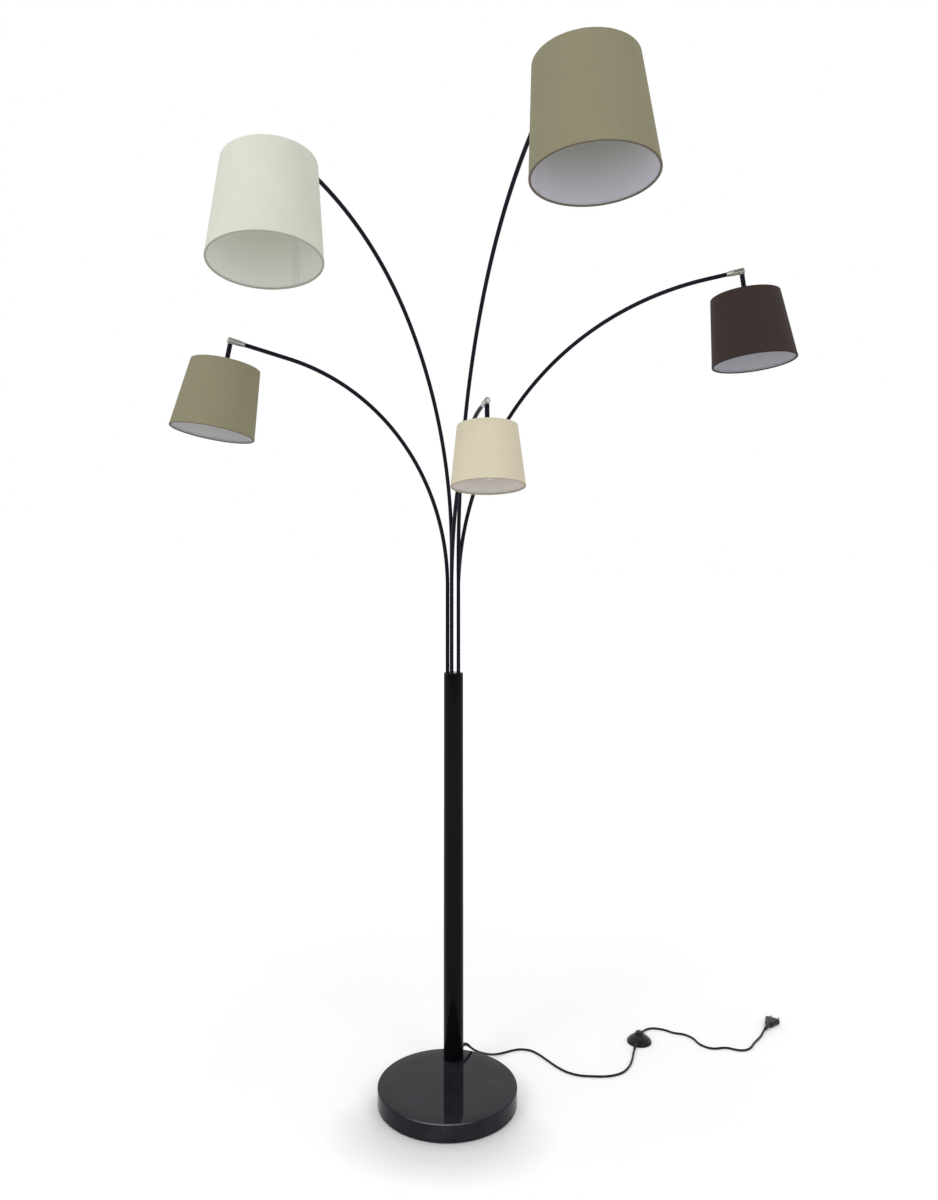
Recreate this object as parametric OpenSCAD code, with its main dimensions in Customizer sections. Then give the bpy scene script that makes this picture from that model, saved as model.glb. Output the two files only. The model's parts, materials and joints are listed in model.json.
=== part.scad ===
// Five-arm arc floor lamp on a polished stone disc.
// Millimetres, +Z up. The origin is the middle of the plane that the base rests on.
// The pole stands behind it on +Y, and five bent tubes fan out of the pole's cap.
// Each tube ends in an elbow, and a shade hangs from it on a short stem.

/* [Stone base] */
// Diameter of the stone disc
base_d = 300; // [285:1:360]
// Thickness of the stone disc
base_h = 37; // [26:1:50]
// Rounding of the disc's edges
base_round = 2.5; // [0.5:0.5:5]
// Distance of the pole behind the middle of the disc
pole_setback = 111.5; // [80:0.5:113]
// Thickness of the felt under the disc
felt_h = 1; // [1:0.5:5]
// Distance of the felt's edge from the disc's
felt_inset = 8; // [4:0.5:8]

/* [Tie bolt under the base] */
// Shank diameter of the bolt
bolt_d = 12; // [8:0.5:14]
// Width of the bolt's head across its flats
bolt_af = 19; // [17:1:22]
// Height of the bolt's head
bolt_head_h = 7.5; // [5:0.5:9]
// Diameter of the washer
washer_d = 34; // [26:1:36]
// Thickness of the washer
washer_h = 2.5; // [1.5:0.5:4]

/* [Pole] */
// Outer diameter of the pole
pole_d = 45; // [43:0.5:48]
// Wall of the pole's tube
pole_wall = 1.5; // [1:0.1:2]
// Length of the pole's tube
pole_h = 858; // [700:1:960]
// Height of the steel plug in the pole's foot
foot_plug_h = 13; // [10:1:16]
// Length of the cap's body inside the tube
cap_depth = 46; // [36:1:80]
// Thickness of the cap's rim on top of the tube
cap_rim_h = 4; // [2:0.5:8]
// Height of the cord's hole above the stone
cord_hole_z = 19; // [18:1:60]
// Turn of the cord's hole from +X towards +Y
cord_hole_turn = 45; // [40:1:80]

/* [Arms] */
// Outer diameter of an arm's tube
arm_d = 9; // [8:0.5:9]
// Wall of an arm's tube
arm_wall = 1.5; // [1.2:0.1:1.6]
// Radius of the circle of holes in the cap
hole_circle_r = 14; // [13.5:0.25:15]
// Turn of the low right arm's hole from +X
hole_turn = 43; // [30:1:50]
// Depth that an arm stands in the cap
arm_seat_depth = 38; // [24:1:40]

/* [Low left arm] */
// Direction that the arm leans in, from +X
low_left_turn = -139.5; // [-150:0.5:-130]
// Height where the bend starts
low_left_bend_z = 1098; // [1060:1:1140]
// Radius of the lower half of the bend
low_left_r1 = 503; // [440:1:560]
// Radius of the upper half of the bend
low_left_r2 = 497; // [440:1:560]
// Bend from upright to the arm's end
low_left_bend = 79; // [72:0.5:86]
// Straight end from the bend to the stem's axis
low_left_end = 132; // [60:1:160]
// Roll of the shade about the arm's end
low_left_roll = 0; // [-15:1:15]

/* [Low right arm] */
// Direction that the arm leans in, from +X
low_right_turn = -19; // [-30:0.5:-10]
// Height where the bend starts
low_right_bend_z = 1083; // [1040:1:1120]
// Radius of the lower half of the bend
low_right_r1 = 691; // [620:1:760]
// Radius of the upper half of the bend
low_right_r2 = 652; // [580:1:720]
// Bend from upright to the arm's end
low_right_bend = 83; // [74:0.5:86]
// Straight end from the bend to the stem's axis
low_right_end = 72; // [50:1:120]
// Roll of the shade about the arm's end
low_right_roll = -2; // [-15:1:15]

/* [Front arm] */
// Direction that the arm leans in, from +X
front_turn = -69.5; // [-76:0.5:-62]
// Height where the bend starts
front_bend_z = 1098; // [1070:1:1120]
// Radius of the lower half of the bend
front_r1 = 454; // [400:1:500]
// Radius of the upper half of the bend
front_r2 = 269; // [230:1:310]
// Bend from upright to the arm's end
front_bend = 80; // [72:0.5:86]
// Straight end from the bend to the stem's axis
front_end = 40; // [36:1:80]
// Roll of the shade about the arm's end
front_roll = -2; // [-15:1:15]

/* [High left arm] */
// Direction that the arm leans in, from +X
high_left_turn = -115; // [-122:0.5:-108]
// Height where the bend starts
high_left_bend_z = 1174; // [1130:1:1220]
// Radius of the lower half of the bend
high_left_r1 = 825; // [760:1:880]
// Radius of the upper half of the bend
high_left_r2 = 687; // [620:1:760]
// Bend from upright to the arm's end
high_left_bend = 78.5; // [72:0.5:86]
// Straight end from the bend to the stem's axis
high_left_end = 53; // [36:1:100]
// Roll of the shade about the arm's end
high_left_roll = 8; // [-15:1:15]

/* [High right arm] */
// Direction that the arm leans in, from +X
high_right_turn = -68; // [-75:0.5:-60]
// Height where the bend starts
high_right_bend_z = 1160; // [1120:1:1220]
// Radius of the lower half of the bend
high_right_r1 = 905; // [840:1:960]
// Radius of the upper half of the bend
high_right_r2 = 809; // [740:1:880]
// Bend from upright to the arm's end
high_right_bend = 81; // [72:0.5:86]
// Straight end from the bend to the stem's axis
high_right_end = 62; // [36:1:100]
// Roll of the shade about the arm's end
high_right_roll = 0; // [-15:1:15]

/* [Elbows and stems] */
// Outer diameter of an elbow
elbow_d = 13; // [12:0.5:16]
// Length of an elbow along the arm
elbow_l = 36; // [32:1:44]
// Length of the elbow's taper towards the arm
elbow_taper_l = 15; // [10:1:18]
// Distance from the elbow's flat end to the stem's axis
elbow_end = 6.5; // [6:0.5:8]
// Depth that the arm's tube enters the elbow
elbow_grip = 20; // [14:1:22]
// Outer diameter of a stem
stem_d = 10; // [9:0.5:11.5]
// Drop from an elbow's axis to the plane of the shade's top
shade_drop = 54; // [45:1:70]
// Depth of the lampholder's top below the plane of the shade's top
holder_sink = 16; // [12:1:26]

/* [Small shades] */
// Diameter of a small shade's lower edge
small_shade_d = 172; // [140:1:200]
// Diameter of a small shade's upper edge
small_shade_top_d = 142; // [110:1:168]
// Height of a small shade
small_shade_h = 143; // [130:1:180]

/* [Front shade] */
// Diameter of the front shade's lower edge
front_shade_d = 151; // [140:1:180]
// Diameter of the front shade's upper edge
front_shade_top_d = 124; // [110:1:150]
// Height of the front shade
front_shade_h = 126; // [125:1:160]

/* [Large shades] */
// Diameter of a large shade's lower edge
large_shade_d = 210; // [180:1:240]
// Diameter of a large shade's upper edge
large_shade_top_d = 178; // [140:1:208]
// Height of a large shade
large_shade_h = 200; // [150:1:230]

/* [Shade parts] */
// Thickness of a shade's lining and cloth together
shade_wall = 0.8; // [0.8:0.1:2]
// Diameter of the wire rings inside a shade's edges
ring_wire_d = 2.5; // [2:0.5:4]
// Diameter of the spokes
spoke_d = 2.2; // [2:0.2:3.6]
// Number of spokes
spoke_count = 3; // [3:1:6]

/* [Lampholders and bulbs] */
// Diameter of a lampholder's cap
holder_cap_d = 29; // [28:0.5:30]
// Diameter of a lampholder's threaded skirt
holder_skirt_d = 27.8; // [26.5:0.1:28]
// Height of a lampholder
holder_h = 46; // [42:1:50]
// Diameter of a bulb's metal cap
bulb_cap_d = 14; // [13:0.5:15]
// Diameter of a bulb's round glass
bulb_d = 45; // [35:1:50]
// Length of a bulb with its metal cap
bulb_l = 78; // [74:1:84]

/* [Foot switch] */
// Diameter of the foot switch
switch_d = 58; // [50:1:70]
// Height of the switch's dome
switch_h = 19; // [17:0.5:24]
// Height of the switch's bottom plate
switch_plate_h = 4; // [3:0.5:5]
// Diameter of the push button
button_d = 17; // [14:0.5:20]
// Height of the push button above the dome
button_rise = 6.5; // [4:0.5:9]
// Travel of the push button
button_travel = 3; // [1.5:0.5:3]

/* [Cord and plug] */
// Diameter of the supply cord
cord_d = 5; // [4:0.5:6]
// Length of the plug's body
plug_l = 36; // [30:1:44]
// Width of the plug's body at the pins
plug_w = 35; // [30:1:38]
// Thickness of the plug's body
plug_t = 13.5; // [12:0.5:16]
// Diameter of a plug pin
pin_d = 4; // [3.5:0.1:4.8]
// Length of a plug pin
pin_l = 19; // [15:1:22]
// Distance between the plug pins
pin_pitch = 18.6; // [17:0.1:19]

/* [Hidden] */
$fn = 64;

// Running fit of what turns in a bore, and seat of what stands in or on another piece
run_gap = 0.05;
seat_gap = 0.1;

// Heights that follow from the base and the pole
stone_top_z = felt_h + base_h;
pole_top_z = stone_top_z + pole_h;
cap_top_z = pole_top_z + cap_rim_h;
pole_bore_d = pole_d - 2 * pole_wall;
recess_h = washer_h + bolt_head_h + 2;
recess_d = washer_d + 2;
arm_foot_z = cap_top_z - arm_seat_depth;

// One row for each arm: hole number, lean, start of the bend, two radii, bend,
// straight end, roll of the head
LOW_LEFT = [2, low_left_turn, low_left_bend_z, low_left_r1, low_left_r2, low_left_bend,
    low_left_end, low_left_roll];
LOW_RIGHT = [0, low_right_turn, low_right_bend_z, low_right_r1, low_right_r2, low_right_bend,
    low_right_end, low_right_roll];
FRONT = [3, front_turn, front_bend_z, front_r1, front_r2, front_bend,
    front_end, front_roll];
HIGH_LEFT = [1, high_left_turn, high_left_bend_z, high_left_r1, high_left_r2, high_left_bend,
    high_left_end, high_left_roll];
HIGH_RIGHT = [4, high_right_turn, high_right_bend_z, high_right_r1, high_right_r2, high_right_bend,
    high_right_end, high_right_roll];

// One row for each size of shade: lower diameter, upper diameter, height
SMALL = [small_shade_d, small_shade_top_d, small_shade_h];
CREAM = [front_shade_d, front_shade_top_d, front_shade_h];
LARGE = [large_shade_d, large_shade_top_d, large_shade_h];

black = [0.09, 0.08, 0.1];
stone_black = [0.2, 0.2, 0.21];
nickel = [0.72, 0.71, 0.68];
steel = [0.6, 0.6, 0.62];
white = [0.93, 0.93, 0.92];
olive = [0.55, 0.53, 0.43];
brown = [0.25, 0.21, 0.19];
cream = [0.85, 0.81, 0.7];
ivory = [0.87, 0.88, 0.82];

// Lays out a child on the pole's axis
module at_pole() {
    translate([0, pole_setback, 0]) children();
}

// A disc with rounded edges, standing on z = 0
module round_disc(d, h, r) {
    cylinder(d = d - 2 * r, h = h);
    translate([0, 0, r]) cylinder(d = d, h = h - 2 * r);
    for (z = [r, h - r]) translate([0, 0, z]) rotate_extrude() translate([d / 2 - r, 0]) circle(r = r);
}

// Base

module base_stone() {
    color(stone_black) difference() {
        translate([0, 0, felt_h]) round_disc(base_d, base_h, base_round);
        at_pole() {
            translate([0, 0, -1]) cylinder(d = bolt_d + 1.5, h = stone_top_z + 2);
            translate([0, 0, felt_h - 1]) cylinder(d = recess_d, h = recess_h + 1);
        }
    }
}

module base_felt() {
    color([0.2, 0.2, 0.2]) difference() {
        cylinder(d = base_d - 2 * felt_inset, h = felt_h);
        at_pole() translate([0, 0, -1]) cylinder(d = recess_d + 2, h = felt_h + 2);
    }
}

module tie_washer() {
    color(steel) at_pole() translate([0, 0, felt_h + recess_h - washer_h]) difference() {
        cylinder(d = washer_d, h = washer_h);
        translate([0, 0, -1]) cylinder(d = bolt_d + 1, h = washer_h + 2);
    }
}

module tie_bolt() {
    head_z = felt_h + recess_h - washer_h - bolt_head_h;
    color(steel) at_pole() {
        translate([0, 0, head_z]) cylinder(d = bolt_af / cos(30), h = bolt_head_h, $fn = 6);
        translate([0, 0, head_z]) cylinder(d = bolt_d, h = stone_top_z + foot_plug_h - 2 - head_z);
    }
}

// Pole

module pole_foot_plug() {
    color(steel) at_pole() translate([0, 0, stone_top_z]) difference() {
        cylinder(d = pole_bore_d - seat_gap, h = foot_plug_h);
        translate([0, 0, -1]) cylinder(d = bolt_d + seat_gap, h = foot_plug_h + 2);
    }
}

// Lays out a child on the cord's hole, with +X pointing out of the pole
module at_cord_hole() {
    at_pole() translate([0, 0, stone_top_z + cord_hole_z]) rotate([0, 0, cord_hole_turn]) children();
}

gland_d = cord_d + 4;
gland_flange_d = cord_d + 8;

module pole_tube() {
    color(black) difference() {
        at_pole() translate([0, 0, stone_top_z]) difference() {
            cylinder(d = pole_d, h = pole_h);
            translate([0, 0, -1]) cylinder(d = pole_bore_d, h = pole_h + 2);
        }
        at_cord_hole() rotate([0, 90, 0]) cylinder(d = gland_d + seat_gap, h = pole_d);
    }
}

module pole_cap() {
    color(black) at_pole() difference() {
        union() {
            translate([0, 0, pole_top_z - cap_depth])
                cylinder(d = pole_bore_d - seat_gap, h = cap_depth + 1);
            translate([0, 0, pole_top_z]) cap_rim();
        }
        for (i = [0 : 4]) at_hole(i) {
            translate([0, 0, arm_foot_z - seat_gap]) cylinder(d = arm_d + 2 * run_gap, h = cap_depth + 10);
            translate([0, 0, pole_top_z - cap_depth - 1]) cylinder(d = arm_d - 2 * arm_wall, h = cap_depth);
        }
    }
}

// The rim is a low cone, so that the cap's top reads as slightly domed
module cap_rim() {
    rotate_extrude() polygon([[0, 0], [pole_d / 2, 0], [pole_d / 2, cap_rim_h - 1.5],
        [pole_d / 2 - 1.5, cap_rim_h], [0, cap_rim_h]]);
}

module cord_gland() {
    color(black) difference() {
        union() {
            at_cord_hole() rotate([0, 90, 0]) translate([0, 0, pole_bore_d / 2 - 3])
                cylinder(d = gland_d, h = pole_wall + 5);
            difference() {
                at_cord_hole() rotate([0, 90, 0]) translate([0, 0, pole_bore_d / 2])
                    cylinder(d1 = gland_flange_d, d2 = gland_flange_d - 2, h = pole_wall + 4);
                at_pole() cylinder(d = pole_d + seat_gap, h = pole_top_z);
            }
        }
        at_cord_hole() rotate([0, 90, 0]) cylinder(d = cord_d + seat_gap, h = pole_d);
    }
}

// Screw connector that joins the five leads to the supply cord, standing on the foot plug
connector_w = 16;
connector_t = 12;
connector_h = 28;

module lead_connector() {
    color(white) at_pole() rotate([0, 0, cord_hole_turn + 180])
        translate([1, -connector_w / 2, stone_top_z + foot_plug_h]) difference() {
            cube([connector_t, connector_w, connector_h]);
            for (y = [0.28, 0.72]) translate([connector_t / 2, y * connector_w, -1])
                cylinder(d = 3.6, h = connector_h + 2);
            for (y = [0.28, 0.72], z = [0.25, 0.75])
                translate([connector_t / 2, y * connector_w, z * connector_h])
                    rotate([0, 90, 0]) cylinder(d = 3, h = connector_t);
        }
}

// Arms

// Lays out a child on one of the five holes of the cap, seen from the pole's axis
module at_hole(i) {
    rotate([0, 0, hole_turn + 72 * i]) translate([hole_circle_r, 0, 0]) children();
}

// Lays out a child at the foot of an arm, with +X the way that the arm leans
module at_arm(arm) {
    hole = hole_turn + 72 * arm[0];
    at_pole() translate([hole_circle_r * cos(hole), hole_circle_r * sin(hole), 0])
        rotate([0, 0, arm[1]]) children();
}

// Where the two arcs of a bend end, as [out, up] from the arm's foot
function mid_of_bend(arm) = [arm[3] * (1 - cos(arm[5] / 2)), arm[2] + arm[3] * sin(arm[5] / 2)];
function end_of_bend(arm) = mid_of_bend(arm)
    + arm[4] * [cos(arm[5] / 2) - cos(arm[5]), sin(arm[5]) - sin(arm[5] / 2)];
function elbow_point(arm) = end_of_bend(arm) + arm[6] * [sin(arm[5]), cos(arm[5])];
// Length of an elbow from its open end to the stem's axis
barrel_l = elbow_l - elbow_end;

// Where two lengths of a tube meet, each stops short by the cut and a seam ring closes the gap
seam_cut = 0.4;
seam_h = 3;
seam_extra = 0.05;

// One arc of a tube that stands at the origin and bends towards +X
module bent_tube(r, from, to) {
    cut = seam_cut / r * 180 / PI;
    translate([r, 0, 0]) rotate([90, 0, 0]) rotate([0, 0, 180 - to + cut])
        rotate_extrude(angle = to - from - 2 * cut) translate([r, 0]) difference() {
            circle(d = arm_d);
            circle(d = arm_d - 2 * arm_wall);
        }
}

module straight_tube(l, extra = 0) {
    difference() {
        cylinder(d = arm_d + 2 * extra, h = l);
        translate([0, 0, -1]) cylinder(d = arm_d - 2 * arm_wall - 2 * extra, h = l + 2);
    }
}

// A seam ring at a point of the arm, square to its bend there
module seam_ring(at, bend) {
    translate([at[0], 0, at[1]]) rotate([0, bend, 0])
        translate([0, 0, -seam_h / 2]) straight_tube(seam_h, seam_extra);
}

module arm_tube(arm) {
    half = arm[5] / 2;
    mid = mid_of_bend(arm);
    end = end_of_bend(arm);
    upper_at = mid - arm[4] * [1 - cos(half), sin(half)];
    color(black) at_arm(arm) {
        translate([0, 0, arm_foot_z]) straight_tube(arm[2] - arm_foot_z - seam_cut);
        translate([0, 0, arm[2]]) bent_tube(arm[3], 0, half);
        translate([upper_at[0], 0, upper_at[1]]) bent_tube(arm[4], half, arm[5]);
        translate([end[0], 0, end[1]]) rotate([0, arm[5], 0]) translate([0, 0, seam_cut])
            straight_tube(arm[6] - barrel_l + elbow_grip - seam_cut);
        seam_ring([0, arm[2]], 0);
        seam_ring(mid, half);
        seam_ring(end, arm[5]);
    }
}

// Heads

// Lays out a child at an elbow, with +X along the arm's end and +Z up along the stem
module at_elbow(arm) {
    p = elbow_point(arm);
    at_arm(arm) translate([p[0], 0, p[1]]) rotate([arm[7], arm[5] - 90, 0]) children();
}

boss_d = stem_d + 1;
boss_h = 1.5;
spigot_d = 8;
spigot_l = 4;
holder_z = -shade_drop - holder_sink;
stem_seat = 7;
rim_z = -shade_drop;

module elbow_body() {
    neck_d = arm_d + 1.8;
    color(nickel) difference() {
        union() {
            rotate([0, 90, 0]) rotate_extrude() polygon([[0, -barrel_l], [neck_d / 2, -barrel_l],
                [neck_d / 2 + 1, elbow_taper_l / 2 - barrel_l], [elbow_d / 2, elbow_taper_l - barrel_l],
                [elbow_d / 2, elbow_end - 0.8], [elbow_d / 2 - 0.8, elbow_end], [0, elbow_end]]);
            translate([0, 0, -elbow_d / 2 - boss_h]) cylinder(d = boss_d, h = elbow_d / 2 + boss_h);
        }
        translate([-barrel_l - 1, 0, 0]) rotate([0, 90, 0])
            cylinder(d = arm_d + 2 * run_gap, h = elbow_grip + 1 + seat_gap);
        translate([-barrel_l, 0, 0]) rotate([0, 90, 0])
            cylinder(d = arm_d - 2 * arm_wall, h = barrel_l);
        translate([0, 0, -elbow_d / 2 - boss_h - 1])
            cylinder(d = spigot_d + seat_gap, h = boss_h + spigot_l + 1 + seat_gap);
        translate([0, 0, -elbow_d / 2]) cylinder(d = arm_d - 2 * arm_wall, h = elbow_d / 2);
    }
}

module stem_tube() {
    top_z = -elbow_d / 2 - boss_h;
    low_z = holder_z - stem_seat;
    color(black) difference() {
        union() {
            translate([0, 0, low_z]) cylinder(d = stem_d, h = top_z - low_z);
            translate([0, 0, top_z - 1]) cylinder(d = spigot_d, h = spigot_l + 1);
        }
        translate([0, 0, low_z - 1]) cylinder(d = arm_d - 2 * arm_wall, h = top_z - low_z + spigot_l + 2);
    }
}

// Heights in a lampholder, measured down from its top
shoulder_z = -14;
flange_h = 2;
flange_d = 32;
socket_z = -18;

module holder_body() {
    color(black) translate([0, 0, holder_z]) difference() {
        rotate_extrude() polygon([[0, 0], [boss_d / 2 + 1.5, 0], [boss_d / 2 + 2.5, -1.5],
            [holder_cap_d / 2 - 1.5, -6], [holder_cap_d / 2, -9], [holder_cap_d / 2, shoulder_z],
            [flange_d / 2, shoulder_z], [flange_d / 2, shoulder_z - flange_h],
            [holder_skirt_d / 2, shoulder_z - flange_h], [holder_skirt_d / 2, -holder_h + 1],
            [holder_skirt_d / 2 - 1, -holder_h], [0, -holder_h]]);
        translate([0, 0, -stem_seat - seat_gap]) cylinder(d = stem_d + seat_gap, h = stem_seat + 1);
        translate([0, 0, -holder_h]) cylinder(d = arm_d - 2 * arm_wall, h = holder_h);
        translate([0, 0, -holder_h - 1])
            cylinder(d = bulb_cap_d + 2 * seat_gap, h = holder_h + socket_z + 1);
    }
}

spider_h = 1.2;
clamp_h = 7;
clamp_d = 39;
clamp_notches = 12;
hub_d = clamp_d + 7;

module clamp_ring_body() {
    color(black) translate([0, 0, holder_z + shoulder_z - flange_h - spider_h - clamp_h]) difference() {
        cylinder(d = clamp_d, h = clamp_h);
        translate([0, 0, -1]) cylinder(d = holder_skirt_d + seat_gap, h = clamp_h + 2);
        for (i = [0 : clamp_notches - 1]) rotate([0, 0, i * 360 / clamp_notches])
            translate([clamp_d / 2 + 1, 0, -1]) cylinder(d = 4, h = clamp_h - 1);
    }
}

// Half widths of a shade's inside at a height above its lower edge
function inside_r(shade, z) =
    shade[0] / 2 - (shade[0] - shade[1]) / 2 * z / shade[2] - shade_wall;

// Cloth on its lining, turned in over the wire rings at both edges
module shade_cover(shade) {
    lip = ring_wire_d + 0.6;
    low_r = shade[0] / 2;
    top_r = shade[1] / 2;
    translate([0, 0, rim_z - shade[2]]) rotate_extrude() polygon([
        [low_r - shade_wall - lip, 0], [low_r, 0], [top_r, shade[2]],
        [top_r - shade_wall - lip, shade[2]], [top_r - shade_wall - lip, shade[2] - shade_wall],
        [inside_r(shade, shade[2] - shade_wall), shade[2] - shade_wall],
        [inside_r(shade, shade_wall), shade_wall], [low_r - shade_wall - lip, shade_wall]]);
}

// Wire ring laid into an edge of a shade
module edge_ring(shade, z) {
    ring_r = inside_r(shade, z + ring_wire_d / 2) - ring_wire_d / 2 - seat_gap;
    translate([0, 0, rim_z - shade[2] + z]) rotate_extrude()
        translate([ring_r, 0]) circle(d = ring_wire_d);
}

// Centre washer, slanting spokes and top ring in one piece, and the loose lower ring
module wire_frame_body(shade) {
    hub_z = holder_z + shoulder_z - flange_h - spider_h;
    low_ring_z = shade_wall + ring_wire_d / 2 + seat_gap;
    top_ring_z = shade[2] - low_ring_z;
    ring_r = inside_r(shade, top_ring_z + ring_wire_d / 2) - ring_wire_d / 2 - seat_gap;
    spoke_r = hub_d / 2 - 1.5;
    spoke_z = hub_z + spider_h / 2;
    run = ring_r - 0.4 - spoke_r;
    climb = rim_z - shade[2] + top_ring_z - spoke_z;
    color(white) {
        edge_ring(shade, low_ring_z);
        edge_ring(shade, top_ring_z);
        translate([0, 0, hub_z]) difference() {
            cylinder(d = hub_d, h = spider_h);
            translate([0, 0, -1]) cylinder(d = holder_skirt_d + seat_gap, h = spider_h + 2);
        }
        for (i = [0 : spoke_count - 1]) rotate([0, 0, i * 360 / spoke_count + 30])
            translate([spoke_r, 0, spoke_z]) rotate([0, atan2(run, climb), 0])
                cylinder(d = spoke_d, h = norm([run, climb]));
    }
}

bulb_cap_l = holder_h + socket_z + 0.5;

module bulb_body() {
    bulb_top = holder_z + socket_z - seat_gap;
    glass_z = bulb_top - bulb_cap_l;
    ball_z = bulb_top - bulb_l + bulb_d / 2;
    color(white) {
        translate([0, 0, glass_z]) cylinder(d = bulb_cap_d, h = bulb_cap_l);
        translate([0, 0, ball_z]) cylinder(r1 = bulb_d / 2 * cos(20), r2 = bulb_cap_d / 2 + 3.5,
            h = glass_z - ball_z);
        translate([0, 0, ball_z]) sphere(d = bulb_d);
    }
}

// Foot switch

switch_pos = [426, 309];
switch_turn = 73;

module at_switch() {
    translate([switch_pos[0], switch_pos[1], 0]) rotate([0, 0, switch_turn]) children();
}

dome_wall = 2;
dome_r = (pow(switch_d / 2, 2) + pow(switch_h - switch_plate_h, 2)) / (2 * (switch_h - switch_plate_h));
cavity_d = switch_d - 2 * dome_wall;
switch_cord_z = switch_plate_h + cord_d / 2 + 0.5;
// Distance from the switch's middle to the ends of the cords inside it
switch_cord_end = switch_d / 2 - 7;
stud_d = 5;
stud_h = 3;

module switch_plate() {
    color(black) at_switch() difference() {
        union() {
            cylinder(d = switch_d, h = switch_plate_h - 1);
            cylinder(d = cavity_d - 3, h = switch_plate_h);
            translate([0, 0, switch_plate_h - 1]) cylinder(d = stud_d, h = stud_h + 1);
        }
        for (y = [-1, 1]) translate([0, y * switch_d / 3, -1]) cylinder(d = 5, h = 2.5);
    }
}

// A shallow dome over the switch, smaller by an inset
module dome(inset) {
    intersection() {
        translate([0, 0, switch_h - dome_r]) sphere(r = dome_r - inset);
        translate([0, 0, switch_plate_h - 1 - inset + seat_gap])
            cylinder(d = switch_d - 2 * inset, h = switch_h);
    }
}

collar_d = button_d + 5;
collar_rise = 0.6;

module switch_cover() {
    color(black) at_switch() difference() {
        union() {
            dome(0);
            translate([0, 0, switch_h - dome_wall]) cylinder(d = collar_d, h = dome_wall + collar_rise);
        }
        dome(dome_wall);
        translate([0, 0, switch_plate_h]) cylinder(d = button_d + 2 * seat_gap, h = switch_h);
        translate([0, 0, switch_cord_z]) rotate([0, 90, 0])
            cylinder(d = cord_d + seat_gap, h = 2 * switch_d, center = true);
    }
}

// Height of the dome's underside at a distance from its middle
function under_dome(r) = switch_h - dome_r + sqrt(pow(dome_r - dome_wall, 2) - r * r);

button_flange_d = button_d + 3;
button_flange_h = 1.2;
button_low_z = under_dome(button_flange_d / 2) - seat_gap - button_flange_h;
button_top_z = switch_h + button_rise;
button_skin = 3;

module switch_button() {
    l = button_top_z - button_low_z;
    color(black) at_switch() translate([0, 0, button_low_z]) difference() {
        union() {
            cylinder(d = button_flange_d, h = button_flange_h);
            rotate_extrude() polygon([[0, 0], [button_d / 2, 0], [button_d / 2, l - 2],
                [button_d / 2 - 0.6, l - 0.8], [button_d / 2 - 2, l - 0.2], [0, l]]);
        }
        translate([0, 0, -1]) cylinder(d = button_d - 4, h = l - button_skin + 1);
    }
}

// Sweeps

// Point on a smooth curve through p[1] and p[2], at t from 0 to 1
function curve_point(p, t) = 0.5 * (2 * p[1] + (p[2] - p[0]) * t
    + (2 * p[0] - 5 * p[1] + 4 * p[2] - p[3]) * t * t + (3 * p[1] - p[0] - 3 * p[2] + p[3]) * t * t * t);

// The points of a line with a point put between each two
function smooth(p) = concat(
    [for (i = [0 : len(p) - 2], t = [0, 0.5])
        curve_point([p[max(i - 1, 0)], p[i], p[i + 1], p[min(i + 2, len(p) - 1)]], t)],
    [p[len(p) - 1]]);

function unit(v) = v / norm(v);
function heading(p, i) = unit(p[min(i + 1, len(p) - 1)] - p[max(i - 1, 0)]);

// A round line swept along the points p
module sweep(p, d, sides) {
    n = len(p);
    rings = [for (i = [0 : n - 1])
        let (t = heading(p, i), side = unit(cross(t, [0, 0, 1])), up = cross(side, t))
        for (k = [0 : sides - 1])
            p[i] + d / 2 * (cos(360 * k / sides) * side + sin(360 * k / sides) * up)];
    walls = [for (i = [0 : n - 2], k = [0 : sides - 1])
        let (a = i * sides + k, b = i * sides + (k + 1) % sides)
        each [[a, b, b + sides], [a, b + sides, a + sides]]];
    first = [for (k = [1 : sides - 2]) [0, k + 1, k]];
    last = [for (k = [1 : sides - 2]) [(n - 1) * sides, (n - 1) * sides + k, (n - 1) * sides + k + 1]];
    polyhedron(points = rings, faces = concat(walls, first, last));
}

spring_wire = 1.2;
spring_d = 10;
spring_turns = 4;
spring_steps = 16;

module switch_spring() {
    low_z = switch_plate_h + spring_wire / 2 + run_gap;
    high_z = button_top_z - button_skin - spring_wire / 2 - run_gap;
    n = spring_turns * spring_steps;
    color(steel) at_switch() sweep([for (i = [0 : n])
        [(spring_d - spring_wire) / 2 * cos(360 * i / spring_steps),
        (spring_d - spring_wire) / 2 * sin(360 * i / spring_steps),
        low_z + (high_z - low_z) * i / n]], spring_wire, 6);
}

// Cords and plug

floor_z = cord_d / 2;
hole_dir = [cos(cord_hole_turn), sin(cord_hole_turn), 0];
hole_pos = [0, pole_setback, stone_top_z + cord_hole_z];
switch_dir = [cos(switch_turn), sin(switch_turn), 0];
switch_at = [switch_pos[0], switch_pos[1], switch_cord_z];

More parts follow.
